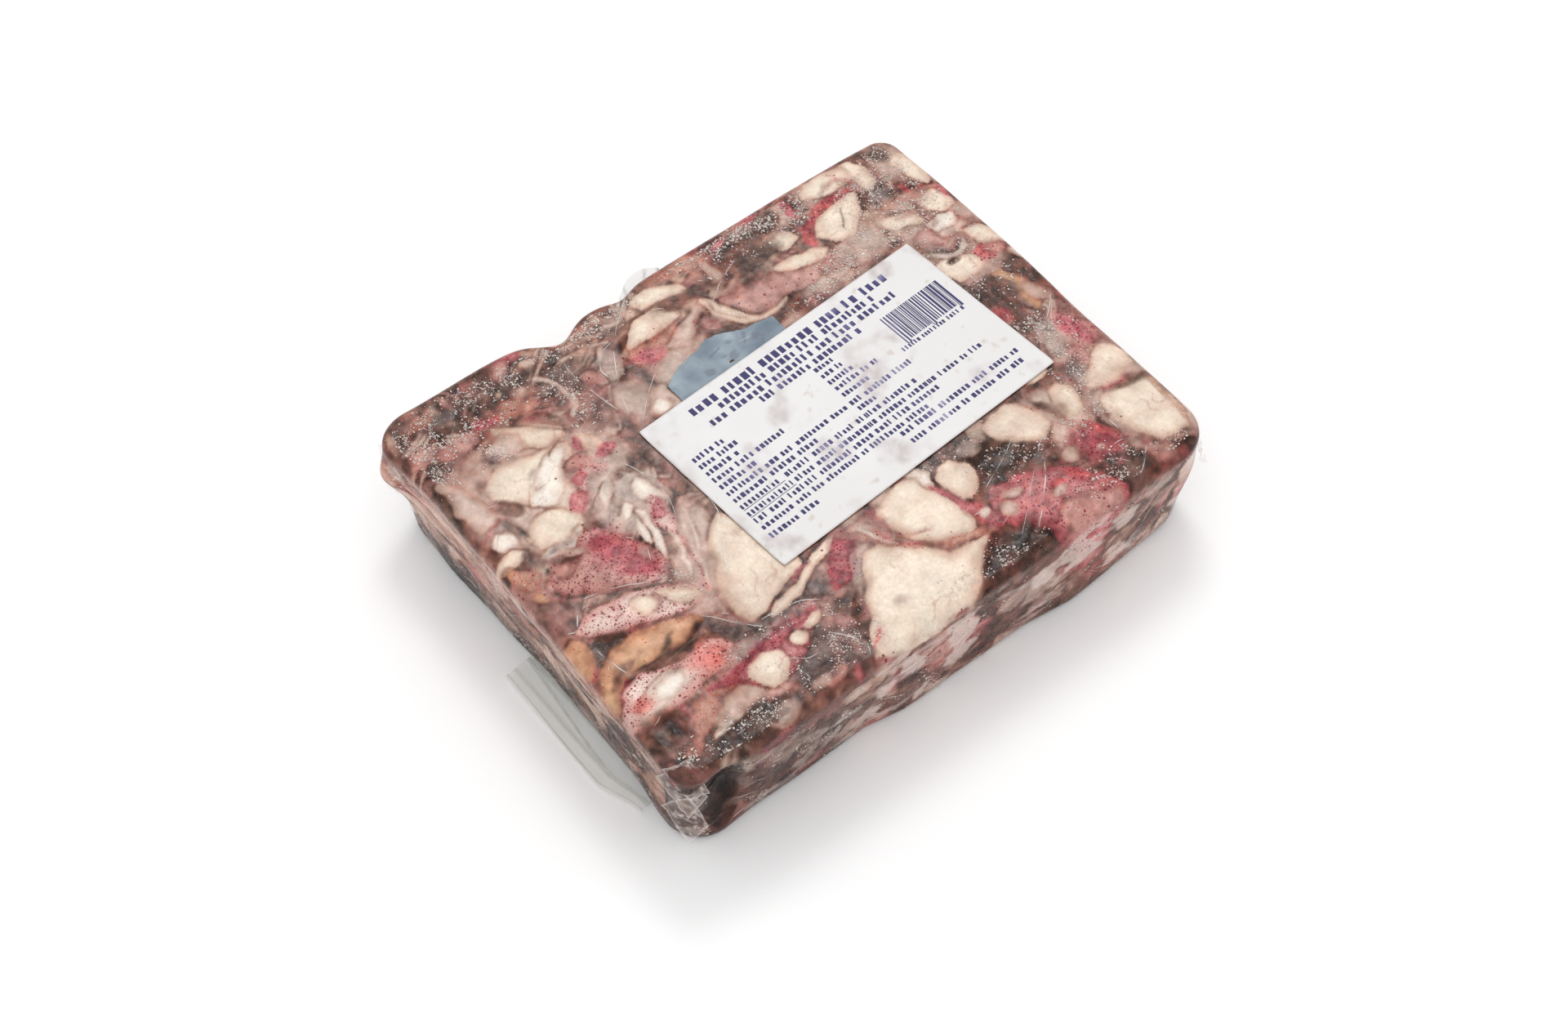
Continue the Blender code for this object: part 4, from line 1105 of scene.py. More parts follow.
def frost_material():
    """Grains of ice."""
    g = Graph("frost_looks")
    g.surface("Base Color", g.mix(g.grain(0.5), colour_of(196, 180, 171), colour_of(244, 236, 230)))
    g.surface("Roughness", 0.35)
    return g.material


def outline_loop(nx, ny):
    """The grid spots round the edge of the top, from the front left corner."""
    loop = [(i, 0) for i in range(nx - 1)]
    loop += [(nx - 1, j) for j in range(ny - 1)]
    loop += [(i, ny - 1) for i in range(nx - 1, 0, -1)]
    loop += [(0, j) for j in range(ny - 1, 0, -1)]
    return np.array(loop)


def lines_of(half, step):
    """Grid lines across the flat of the top."""
    inner = half - TOP_ROUND
    return np.linspace(-inner, inner, int(round(2 * inner / step)) + 1)


def wall_profile(step, arc_steps):
    """Inset and height of each ring of the wall, from the underside up to the top's edge."""
    rows = []
    for turn in np.linspace(0.0, np.pi / 2, 4)[:-1]:
        rows.append((BOTTOM_ROUND * (1 - np.sin(turn)), BOTTOM_ROUND * (1 - np.cos(turn))))
    straight = HEIGHT - TOP_ROUND - BOTTOM_ROUND
    for height in np.linspace(BOTTOM_ROUND, HEIGHT - TOP_ROUND, int(round(straight / step)) + 1):
        rows.append((0.0, height))
    for turn in np.linspace(0.0, np.pi / 2, arc_steps + 1)[1:-1]:
        rows.append((TOP_ROUND * (1 - np.cos(turn)), HEIGHT - TOP_ROUND + TOP_ROUND * np.sin(turn)))
    return rows


def top_points(xs, ys):
    """The top of the block before any paint lifts it, and its straight-walled place."""
    gx, gy = (grid.ravel() for grid in np.meshgrid(xs, ys, indexing="ij"))
    x, y = ring_point(gx, gy)
    z = np.full_like(x, HEIGHT)
    new_x, new_y = push_walls(x, y, z)
    return x, y, np.stack((new_x, new_y, z + swells(x, y)), axis=1)


def wall_points(xs, ys, rows, lift):
    """The rings of the wall, moved out by lift, and which points of the top they meet."""
    loop = outline_loop(len(xs), len(ys))
    edge_x = xs[loop[:, 0]]
    edge_y = ys[loop[:, 1]]
    rings = []
    for inset, height in rows:
        x, y = ring_point(edge_x, edge_y, inset - lift)
        rings.append((x, y, np.full_like(x, height)))
    x, y, z = (np.concatenate(part) for part in zip(*rings))
    new_x, new_y = push_walls(x, y, z)
    new_z = z + swells(x, y) * smoothstep((z - (HEIGHT - TOP_ROUND)) / TOP_ROUND)
    rim = loop[:, 0] * len(ys) + loop[:, 1]
    return rim, x, y, np.stack((new_x, new_y, new_z), axis=1)


def ring_faces(count, rings):
    """Quads between closed rings that are stored one after another."""
    k, ring = np.meshgrid(np.arange(count), np.arange(rings - 1), indexing="ij")
    this = ring * count + k
    after = ring * count + (k + 1) % count
    return np.stack((this, after, after + count, this + count), axis=-1).reshape(-1, 4)


def frost_share(x, y):
    """How much frost lies under the film on the top."""
    share = np.zeros_like(x)
    for cx, cy, half_long, half_wide, strength in FROST:
        near = ((x - cx) / half_long) ** 2 + ((y - cy) / half_wide) ** 2
        share = np.maximum(share, strength * np.exp(-near ** 1.5))
    return share


def paint_top(place):
    """The colours and marks of the top."""
    warp = 1.4 * drift(place, 6.0, 5, 2) + 0.42 * drift(place, 2.2, 7)
    canvas = Canvas(place[:, :2] + warp, np.tile((118.0, 84.0, 74.0), (len(place), 1)))
    for tone in TONES:
        canvas.tone(*tone)
    soft = fractal(place, 9.0, 21)[:, None]
    canvas.colour += soft * np.array((26.0, 24.0, 23.0))
    for scraps in TOP_SCRAPS:
        canvas.scatter(*scraps)
    for bundle in TOP_ARMS:
        canvas.arms(*bundle)
    for look, corners in OUTLINES:
        canvas.outline(look, corners)
    for blob in BLOBS:
        canvas.blob(*blob)
    for line in LINES:
        canvas.line(*line)
    canvas.frost = np.maximum(canvas.frost, frost_share(place[:, 0], place[:, 1]))
    clumps = 0.5 + 0.8 * fractal(place, 5.0, 41)
    canvas.frost = np.clip(canvas.frost * clumps, 0, 0.95)
    canvas.finish(place, 51)
    return canvas


def around(x, y):
    """How far along the walls a place is, from 0 mid-front to BACK_RUN mid-back."""
    past_front = y + HALF_WIDTH
    front = x + past_front * np.clip(x / 30.0, -1, 1)
    back = np.sign(x) * (past_front + 2.0 * HALF_LENGTH - np.abs(x))
    return front + (back - front) * smoothstep((y + 30.0) / 60.0)


def paint_wall(place, x, y):
    """The colours and marks of the walls: flesh and ice behind film that lies on them in patches."""
    z = place[:, 2]
    front = y < WALL_REACH - HALF_WIDTH
    left = (x < WALL_REACH - HALF_LENGTH) & ~front
    along = np.where(np.abs(y) > HALF_WIDTH - CORNER_REACH, x, y)
    run = around(x, y)
    patchy = place * np.array((1 / 1.35, 1 / 1.35, 1.0))
    streaky = place * np.array((1 / 2.0, 1 / 7.0, 1.0))
    slow = fractal(patchy, 9.0, 61)
    colour = np.array((112.0, 79.0, 70.0)) + slow[:, None] * np.array((104.0, 92.0, 86.0))
    warp = 2.0 * drift(place, 4.0, 62)
    canvas = Canvas(np.stack((run, z), axis=1) + warp, colour)
    seam = np.nonzero((np.abs(x) < SEAM_REACH) & (y > 0))[0]
    across_seam = run[seam] - 2.0 * BACK_RUN * np.sign(x[seam])
    twin = Canvas(np.stack((across_seam, z[seam]), axis=1) + warp[seam], colour[seam])
    for part in (canvas, twin):
        part.scatter(WALL_SCRAPS, (-BACK_RUN, -2), (BACK_RUN, 40), WALL_LOOKS, (2.0, 9.0), 64, 1.0, 45.0)
    share = 0.5 * (1.0 - np.abs(x[seam]) / SEAM_REACH)[:, None]
    canvas.colour[seam] += (twin.colour - canvas.colour[seam]) * share
    canvas.flat = np.stack((along, z), axis=1) + warp
    for chosen_side, blobs in ((front, FRONT_BLOBS), (left, LEFT_BLOBS)):
        painted = Canvas(canvas.flat[chosen_side], canvas.colour[chosen_side])
        for blob in blobs:
            painted.blob(*blob)
        canvas.colour[chosen_side] = painted.colour
        canvas.dots[chosen_side] = painted.dots
        canvas.rust[chosen_side] = painted.rust
    fold = np.exp(-(fractal(patchy, 4.0, 68) / 0.05) ** 2) * smoothstep(0.4 + fractal(patchy, 9.0, 69))
    shift(canvas.colour, (58.0, 40.0, 34.0), 0.8 * fold)
    # The hollow keeps the whitish patches off the painted shade of the front left corner
    hollow = np.exp(-((x + 79.0) / 6.0) ** 2 - ((z - 23.0) / 14.0) ** 4) * front
    patches = smoothstep(fractal(patchy, 7.0, 65, 4) * 5.5 - 0.9) * (1.0 - hollow)
    shift(canvas.colour, (214.0, 197.0, 189.0), 0.76 * patches)
    drawn = smoothstep(fractal(streaky, 2.4, 70, 3) * 4.0 + 0.1) * smoothstep((z - 10.0) / 12.0) * left
    drawn = drawn * smoothstep((y + 40.0) / 16.0) * smoothstep((HALF_WIDTH - 4.0 - y) / 8.0)
    shift(canvas.colour, (230.0, 210.0, 200.0), 0.85 * drawn)
    canvas.frost = 0.72 * smoothstep(fractal(patchy, 5.0, 66) * 2.6)
    # Painted shade: all walls darker towards the bottom, the left wall darker at its foot, and the front
    # wall darker towards its left end and a little lighter to the right of that
    low = smoothstep((6.0 - z) / 6.0)
    painted_foot_shade = smoothstep((15.0 - z) / 8.0 + 0.8 * fractal(patchy, 4.0, 72)) * left
    painted_front_shade_and_light = (0.24 * smoothstep((-34.0 - x) / 16.0) - 0.07 * smoothstep((x + 34.0) / 10.0)) * front
    canvas.colour *= (1.0 - 0.25 * low - 0.3 * painted_foot_shade - painted_front_shade_and_light)[:, None]
    canvas.colour *= 1.0 + left[:, None] * np.array((0.02, -0.05, -0.08))
    canvas.finish(place, 67, 0.9)
    return canvas


def build_contents(look):
    """The frozen squid and ice: the top, the walls and the underside."""
    xs = lines_of(HALF_LENGTH, SKIN_STEP)
    ys = lines_of(HALF_WIDTH, SKIN_STEP)
    x, y, place = top_points(xs, ys)
    canvas = paint_top(place)
    edge = np.minimum(HALF_LENGTH - TOP_ROUND - np.abs(x), HALF_WIDTH - TOP_ROUND - np.abs(y))
    calm = smoothstep(edge / 2.0) * (1.0 - under_label(x, y, 1.0, 3.0))
    place[:, 2] += calm * (0.8 * canvas.rise + 0.06 * cloud(place, 1.2, 71))
    place[:, 2] -= TAG_HOLLOW * under_tag(x, y)
    top = new_mesh("contents_top", place, grid_faces(len(xs), len(ys)), look, canvas.paints())
    declare(top, "frozen_squid", "frozen_block")
    rows = wall_profile(WALL_STEP, 12)
    rim, x, y, rings = wall_points(xs, ys, rows, 0.0)
    wall_place = np.vstack((rings, place[rim]))
    outline_x = np.concatenate((x, place[rim, 0]))
    outline_y = np.concatenate((y, place[rim, 1]))
    wall = paint_wall(wall_place, outline_x, outline_y)
    upper = paint_top(wall_place)
    share = smoothstep((wall_place[:, 2] - (HEIGHT - 7.0)) / 6.0)
    shift(wall.colour, upper.colour, share)
    wall.frost += (upper.frost - wall.frost) * share
    wall.dots += (upper.dots - wall.dots) * share
    wall.rust += (upper.rust - wall.rust) * share
    side = new_mesh("contents_wall", wall_place, ring_faces(len(rim), len(rows) + 1), look, wall.paints())
    declare(side, "frozen_squid", "frozen_block")
    build_base(look, rows[0][0])
    return place, wall_place


def build_base(look, inset):
    """The underside, which lies flat."""
    xs = lines_of(HALF_LENGTH, BASE_STEP)
    ys = lines_of(HALF_WIDTH, BASE_STEP)
    gx, gy = (grid.ravel() for grid in np.meshgrid(xs, ys, indexing="ij"))
    share_x = gx / xs[-1]
    share_y = gy / ys[-1]
    size = np.maximum(np.abs(share_x), np.abs(share_y))
    scale = 1.0 / np.maximum(size, 1e-6)
    ex, ey = ring_point(gx * scale, gy * scale, inset)
    x, y = push_walls(ex, ey, np.zeros_like(ex))
    place = np.stack((x * size, y * size, np.full_like(x, 0.02)), axis=1)
    warp = 1.5 * drift(place, 6.0, 81)
    canvas = Canvas(place[:, :2] + warp, np.tile((150.0, 114.0, 105.0), (len(place), 1)))
    canvas.colour += fractal(place, 12.0, 83)[:, None] * 36.0
    canvas.scatter(150, (-90, -72), (90, 72), BASE_LOOKS, (5.0, 15.0), 84, 1.0)
    canvas.scatter(260, (-90, -72), (90, 72), BASE_LOOKS, (1.5, 5.0), 85, 0.7)
    canvas.frost = 0.5 * smoothstep(fractal(place, 8.0, 86) * 2.0)
    canvas.finish(place, 87)
    faces = grid_faces(len(xs), len(ys))[:, ::-1]
    base = new_mesh("contents_base", place, faces, look, canvas.paints())
    declare(base, "frozen_squid", "frozen_block")


def crease_fields(place):
    """Haze and lift of the film's creases on the top; the haze is partly painted highlight."""
    haze_and_glint = np.zeros(len(place))
    lift = np.zeros(len(place))
    flat = place[:, :2] + 0.5 * drift(place, 4.0, 91, 1)
    for width, strength, corners in CREASES:
        corners = np.array(corners, float)
        near = np.all((flat > corners.min(0) - 4) & (flat < corners.max(0) + 4), axis=1)
        chosen = np.nonzero(near)[0]
        away = line_distance(flat[chosen], smooth_curve(corners, False)) / width
        haze_and_glint[chosen] = np.maximum(haze_and_glint[chosen], 0.20 * strength * np.exp(-(away * 0.7) ** 4))
        lift[chosen] = np.maximum(lift[chosen], 0.12 * np.exp(-(away * 1.2) ** 2))
    return haze_and_glint, lift


def build_film(look):
    """The clear wrap, just off the block, with its creases."""
    xs = lines_of(HALF_LENGTH, FILM_STEP)
    ys = lines_of(HALF_WIDTH, FILM_STEP)
    x, y, top = top_points(xs, ys)
    open_film = 1.0 - under_label(x, y, 1.0, 3.0)
    haze_and_glint, lift = crease_fields(top)
    top[:, 2] += FILM_LIFT + OPEN_LIFT * open_film + lift * open_film
    # Faint whitish patches of film on the top: whitish film, partly painted glint
    cover = smoothstep(fractal(top, 16.0, 93) * 1.8) * smoothstep(fractal(top, 2.4, 94) * 2.4 + 0.1)
    top_haze_and_glint = np.maximum(haze_and_glint, 0.045 * cover * open_film)
    rows = wall_profile(FILM_WALL_STEP, 7)
    rim, x, y, rings = wall_points(xs, ys, rows, WALL_LIFT)
    up = smoothstep((rings[:, 2] - (HEIGHT - TOP_ROUND)) / TOP_ROUND)
    rings[:, 2] += EDGE_LIFT * up
    along = np.where(np.abs(y) > HALF_WIDTH - CORNER_REACH, x, y)
    fold = np.stack((along / 4.0, rings[:, 2] * 1.2, np.where(y < 0, 0.0, 50.0)), axis=1)
    ridge = np.exp(-(cloud(fold, 4.0, 95) / 0.08) ** 2) * smoothstep(cloud(fold, 9.0, 97) * 2.0)
    out = np.stack((x, y), axis=1)
    out /= np.maximum(np.hypot(*out.T), 1e-9)[:, None]
    fade = 1.0 - up
    rings[:, :2] += out * (0.5 * ridge * fade)[:, None]
    # Whitish patches on the walls, and whitish lines along the folds that are painted highlight
    most = np.where(x < WALL_REACH - HALF_LENGTH, 0.14, 0.28)
    wall_haze_and_glint = most * smoothstep(fractal(fold, 3.4, 96) * 4.0 - 0.9) + 0.20 * ridge * fade
    hollow = np.exp(-((x + 78.0) / 7.0) ** 2 - ((rings[:, 2] - 24.0) / 13.0) ** 4) * (y < 0)
    wall_haze_and_glint *= 1.0 - hollow
    wall_haze_and_glint *= 1.0 - 0.85 * smoothstep((rings[:, 2] - (HEIGHT - 7.0)) / 5.0)
    points = np.vstack((top, rings))
    first = len(top)
    count = len(rim)
    wall_faces = ring_faces(count, len(rows)) + first
    last = first + (len(rows) - 1) * count
    k = np.arange(count)
    after = (k + 1) % count
    join = np.stack((last + k, last + after, rim[after], rim[k]), axis=1)
    faces = np.vstack((grid_faces(len(xs), len(ys)), wall_faces, join))
    haze_and_glint = np.concatenate((top_haze_and_glint, wall_haze_and_glint))
    # The film's brightness follows its haze, so creases and folds get a painted glint
    wrap = new_mesh("film_wrap", points, faces, look, film_marks(haze_and_glint, np.clip(haze_and_glint * 1.6, 0, 1)))
    declare(wrap, "clear_film", "frozen_block")


def film_spot(x, y, z):
    """A point on the wrap's wall, from its place on the straight-walled outline."""
    new_x, new_y = push_walls(*ring_point(x, y, -WALL_LIFT), z)
    return np.stack((new_x, new_y, z), axis=1)


def add_ridge(points, faces, curve, normals, width, height):
    """Adds a low arched ridge along a curve, thin at both ends."""
    step = np.gradient(curve, axis=0)
    side = np.cross(normals, step)
    side /= np.maximum(np.linalg.norm(side, axis=1), 1e-9)[:, None]
    taper = np.sin(np.linspace(0.0, np.pi, len(curve))) ** 0.5 + 0.05
    first = len(points) * 5
    for place, across, normal, thin in zip(curve, side, normals, taper):
        points.append([
            place + across * width * thin * aside + normal * height * thin * up
            for aside, up in ((-1.0, 0.0), (-0.5, 0.7), (0.0, 1.0), (0.5, 0.7), (1.0, 0.0))
        ])
    rows = len(curve) - 1
    for k in range(rows):
        for j in range(4):
            corner = first + 5 * k + j
            faces.append((corner, corner + 5, corner + 6, corner + 1))


def build_ridges(look):
    """The sharp wrinkles of the wrap: real ridges whose whitish cover and full brightness are painted
    glints.
    """
    draw = np.random.default_rng(151)
    points = []
    faces = []
    top_lines = []
    for width, _, corners in CREASES:
        curve = smooth_curve(corners, False, 9)
        if width > 0.8:
            step = np.gradient(curve, axis=0)
            side = np.stack((-step[:, 1], step[:, 0]), axis=1)
            side /= np.linalg.norm(side, axis=1)[:, None]
            top_lines.append((curve + side * width * 0.8, 0.15))
        else:
            top_lines.append((curve, 0.16))
    for _ in range(TOP_WRINKLES):
        x, y = draw.uniform((-90, -72), (90, 72))
        if under_label(np.array([x]), np.array([y]), 3.0, 3.0)[0] > 0.3:
            continue
        heading = draw.choice((0.75, 2.3, 0.1, 1.6)) + draw.normal(0, 0.35)
        length = draw.uniform(1.2, 5.0)
        part = np.linspace(-0.5, 0.5, 12)
        bend = draw.uniform(-0.12, 0.12) * length
        line_x = x + length * part * np.cos(heading) - bend * part ** 2 * np.sin(heading)
        line_y = y + length * part * np.sin(heading) + bend * part ** 2 * np.cos(heading)
        top_lines.append((np.stack((line_x, line_y), axis=1), draw.uniform(0.06, 0.13)))
    broken = []
    for curve, width in top_lines:
        start = 0
        while start < len(curve):
            end = start + draw.integers(6, 16)
            broken.append((curve[start:end], width * draw.uniform(0.6, 1.2)))
            start = end + draw.integers(0, 6)
    for curve, width in broken:
        inside = np.all(np.abs(curve) < (HALF_LENGTH - 3.0, HALF_WIDTH - 2.0), axis=1)
        curve = curve[inside]
        if len(curve) < 4:
            continue
        flat = np.column_stack((curve, np.zeros(len(curve))))
        curve = curve + 0.35 * drift(flat, 3.0, 152)
        height = HEIGHT + swells(curve[:, 0], curve[:, 1]) + RIDGE_LIFT
        normals = np.tile((0.0, 0.0, 1.0), (len(curve), 1))
        add_ridge(points, faces, np.column_stack((curve, height)), normals, width, 0.22)
    for side, count, low, high in WALL_WRINKLES:
        long_side = side in ("front", "back")
        sign = -1.0 if side in ("front", "left") else 1.0
        normal = (0.0, sign, 0.0) if long_side else (sign, 0.0, 0.0)
        half = 80.0 if long_side else 62.0
        for _ in range(count):
            length = draw.uniform(2.0, 9.0)
            start = draw.uniform(-half, half - length)
            along = np.linspace(start, start + length, 26)
            level = draw.uniform(low, high) + np.linspace(0, draw.normal(0, 0.5) * length, 26)
            level += 1.4 * cloud(np.stack((along, level, level * 0 + start), axis=1), 4.0, 154)
            level = np.clip(level, 1.5, HEIGHT - TOP_ROUND)
            fixed = np.full(26, sign * (HALF_WIDTH if long_side else HALF_LENGTH))
            x, y = (along, fixed) if long_side else (fixed, along)
            curve = film_spot(x, y, level)
            add_ridge(points, faces, curve, np.tile(normal, (26, 1)), draw.uniform(0.07, 0.18), 0.15)
    points = np.array(points).reshape(-1, 3)
    haze_and_glint = 0.30 + 0.35 * smoothstep(0.5 + cloud(points, 4.0, 155))
    # The painted glints are weaker on the walls than on the top
    haze_and_glint *= np.where(points[:, 2] > HEIGHT - TOP_ROUND + 0.5, 1.0, 0.55)
    ridges = new_mesh("film_ridges", points, faces, look, film_marks(haze_and_glint, np.ones(len(haze_and_glint))))
    declare(ridges, "clear_film", "frozen_block")


# Crumpled flaps of film at the corners: corner points of a four-sided patch, in turn
FLAPS = (
    ((-93.0, -60.0, 31.0), (-90.5, -70.0, 20.0), (-85.5, -72.0, 29.0), (-86.0, -65.5, 38.4)),
    ((-94.0, -63.0, 22.0), (-91.5, -70.5, 8.0), (-86.0, -72.5, 15.0), (-88.5, -69.5, 29.0)),
    ((-92.0, -62.0, 36.0), (-89.0, -69.5, 27.0), (-84.5, -72.0, 31.0), (-85.5, -65.0, 38.6)),
    ((-94.5, 66.0, 27.0), (-93.5, 58.0, 31.0), (-90.5, 66.0, 36.5), (-92.0, 71.0, 33.0)),
    ((84.0, -73.0, 30.0), (90.5, -70.0, 20.0), (92.5, -62.0, 26.0), (89.0, -66.0, 35.5)),
)


def build_flaps(look):
    """Small crumpled folds of film that stand off the corners."""
    points = []
    faces = []
    part = np.linspace(0, 1, 15)
    gu, gv = (grid.ravel() for grid in np.meshgrid(part, part, indexing="ij"))
    for k, corners in enumerate(FLAPS):
        one, two, three, four = (np.array(corner) for corner in corners)
        place = (one * ((1 - gu) * (1 - gv))[:, None] + two * (gu * (1 - gv))[:, None]
                 + three * (gu * gv)[:, None] + four * ((1 - gu) * gv)[:, None])
        normal = np.cross(two - one, four - one)
        normal /= np.linalg.norm(normal)
        crumple = np.abs(fractal(place + 50.0 * k, 4.5, 161, 3)) * 2.4 - 0.7
        place = place + normal * crumple[:, None] * (1.0 if normal[2] > 0 else -1.0)
        faces.append(grid_faces(15, 15, len(points) * 225))
        points.append(place)
    points = np.vstack(points)
    border = np.minimum(np.minimum(gu, 1.0 - gu), np.minimum(gv, 1.0 - gv))
    # Whitish lines along the crumples and a whitish border: whitish film with painted glint on folds and
    # edges
    haze_and_glint = 0.06 + 0.50 * np.exp(-(fractal(points, 4.0, 162) / 0.07) ** 2)
    haze_and_glint = np.maximum(haze_and_glint, 0.5 * np.tile(smoothstep((0.10 - border) / 0.08), len(FLAPS)))
    flaps = new_mesh("film_flaps", points, np.vstack(faces), look, film_marks(haze_and_glint, haze_and_glint))
    declare(flaps, "clear_film", "frozen_block")


def build_frost(top, wall, look):
    """Loose-looking grains of ice under the film."""
    draw = np.random.default_rng(101)
    picks = top[draw.integers(len(top), size=TOP_GRAINS)]
    clumps = smoothstep(fractal(picks, 4.0, 41) * 1.4 + 0.42)
    keep = draw.random(len(picks)) < TOP_GRAINS_KEPT * frost_share(picks[:, 0], picks[:, 1]) * clumps
    keep &= under_label(picks[:, 0], picks[:, 1], 0.5, 0.5) < 0.5
    raised = picks[keep] + (0, 0, 0.12)
    picks = wall[draw.integers(len(wall), size=WALL_GRAINS)]
    clumps = smoothstep(fractal(picks, 5.0, 42) * 2.0)
    picks = picks[draw.random(len(picks)) < WALL_GRAINS_KEPT * clumps]
    spots = np.vstack((raised, picks + draw.uniform(-0.4, 0.4, (len(picks), 3)) * (1, 1, 2)))
    shape = np.array(((1, 0, 0), (0, 1, 0), (-1, 0, 0), (0, -1, 0), (0, 0, 1), (0, 0, -1)), float)
    sides = np.array([(k, (k + 1) % 4, 4) for k in range(4)] + [((k + 1) % 4, k, 5) for k in range(4)])
    size = 0.08 + 0.30 * draw.random((len(spots), 1, 1)) ** 2.2 * draw.uniform(0.6, 1.3, (len(spots), 1, 3))
    turn = draw.uniform(0, 2 * np.pi, len(spots))
    grains = shape[None] * size + draw.uniform(-0.08, 0.08, (len(spots), 6, 3))
    spin_x = grains[..., 0] * np.cos(turn)[:, None] - grains[..., 1] * np.sin(turn)[:, None]
    spin_y = grains[..., 0] * np.sin(turn)[:, None] + grains[..., 1] * np.cos(turn)[:, None]
    grains = np.stack((spin_x, spin_y, grains[..., 2]), axis=-1) + spots[:, None, :]
    faces = (sides[None] + 6 * np.arange(len(spots))[:, None, None]).reshape(-1, 3)
    frost = new_mesh("frost_grains", grains.reshape(-1, 3), faces, look)
    for polygon in frost.data.polygons:
        polygon.use_smooth = False
    declare(frost, "frozen_squid", "frozen_block")


def label_height(x, y):
    """The underside of the label, which bends with the top and cockles a little."""
    place = np.stack((x, y, np.zeros_like(x)), axis=1)
    cockle = 0.07 * fractal(place, 13.0, 111)
    return HEIGHT + sag(x, y) + LABEL_GAP + cockle + 0.03 * cloud(place, 3.0, 112)


def stains(place):
    """Damp, frosted patches of the label, from 0 to 1."""
    patch = smoothstep(fractal(place, 9.0, 113) * 2.0 - 0.1)
    return np.clip(patch * (0.6 + 0.8 * fractal(place, 2.0, 114)), 0, 1)


def sheet_points(columns, rows, place, thickness):
    """A thin closed sheet: place(u, v) gives its lower side in mm."""
    gu, gv = (grid.ravel() for grid in np.meshgrid(
        np.linspace(0, 1, columns + 1), np.linspace(0, 1, rows + 1), indexing="ij"))
    low = place(gu, gv)
    points = np.vstack((low, low + np.array(thickness)))
    layer = len(low)
    under = grid_faces(columns + 1, rows + 1)[:, ::-1]
    over = grid_faces(columns + 1, rows + 1, layer)
    loop = outline_loop(columns + 1, rows + 1)
    rim = loop[:, 0] * (rows + 1) + loop[:, 1]
    after = np.roll(rim, -1)
    return points, np.vstack((under, over, np.stack((rim, after, layer + after, layer + rim), axis=1)))


def build_label():
    """The paper label."""
    def place(u, v):
        round_off = 1.0 - 0.006 * (np.abs(2 * v - 1) ** 30)
        x, y = from_label((u - 0.5) * LABEL_LENGTH * round_off, (v - 0.5) * LABEL_WIDTH)
        return np.stack((x, y, label_height(x, y)), axis=1)

    points, faces = sheet_points(150, 88, place, (0, 0, LABEL_THICKNESS))
    mark = stains(points)
    colour = np.tile((218.0, 216.0, 215.0), (len(points), 1))
    shift(colour, (178.0, 166.0, 164.0), 0.80 * mark)
    spot = smoothstep(fractal(points, 2.6, 116) * 3.0 - 1.1)
    shift(colour, (186.0, 168.0, 156.0), 0.55 * spot)
    colour += fractal(points, 24.0, 115)[:, None] * np.array((4.0, 5.0, 6.0))
    label = new_mesh("label", points, faces, paper_material("label_looks", 0.5), {"paint": linear(colour)})
    declare(label, "label_paper", "label")


# Rows of print on the label: start, end, place across, height of the marks, weight
PRINT_ROWS = (
    (-36.2, 37.1, 25.3, 3.1, 1.0), (-28.7, 29.8, 22.0, 2.5, 0.9), (-34.3, 35.1, 18.8, 2.5, 0.9),
    (-18.7, 19.4, 15.6, 2.3, 0.85), (-46.4, -35.6, 12.4, 1.9, 0.8), (-46.5, -33.0, 9.5, 1.9, 0.8),
    (-46.6, -36.4, 6.6, 1.9, 0.8), (-46.7, -21.6, 3.6, 1.9, 0.8), (-46.8, -34.4, 0.7, 1.9, 0.8),
    (-46.9, 21.2, -2.2, 1.9, 0.8), (-47.0, -17.4, -5.1, 1.9, 0.8), (-31.0, 17.2, -8.1, 1.9, 0.62),
    (-30.0, 41.0, -11.1, 1.9, 0.62), (-47.2, 20.0, -14.0, 1.9, 0.62), (-47.3, 13.2, -16.9, 1.8, 0.85),
    (-47.4, -31.0, -20.4, 1.9, 0.85), (-1.0, 5.4, 13.0, 1.8, 0.7), (-1.0, 6.6, 10.1, 1.8, 0.7),
    (-1.0, 8.0, 7.2, 1.8, 0.7), (-1.0, 14.4, 4.4, 1.8, 0.7), (-1.0, 9.0, 1.4, 1.8, 0.7),
    (-1.0, 4.6, -5.0, 1.8, 0.7), (1.6, 47.0, -19.4, 1.9, 0.85), (2.2, 44.6, -23.0, 1.9, 0.85),
    (22.6, 46.6, 1.9, 1.5, 0.6),
)

# Underlined rows: start, end, place across. Then the bar code: left, right, low, top
UNDERLINED = ((-47.1, -32.2, -8.1), (-47.2, -30.8, -11.1))
BARCODE = (25.4, 47.4, 3.4, 14.4)


def print_mark(draw, left, low, width, height, pen):
    """One abstract mark: a block, or one or two upright bars."""
    kind = draw.integers(4)
    tall = height * (0.86, 1.0, 0.86, 0.74)[kind]
    if kind in (0, 3):
        return [(left, low + tall / 2, left + width * 0.86, low + tall / 2, tall)]
    bars = [(left + pen / 2, low, left + pen / 2, low + tall, pen)]
    if kind == 2:
        bars.append((left + width - pen / 2, low, left + width - pen / 2, low + tall, pen))
    return bars


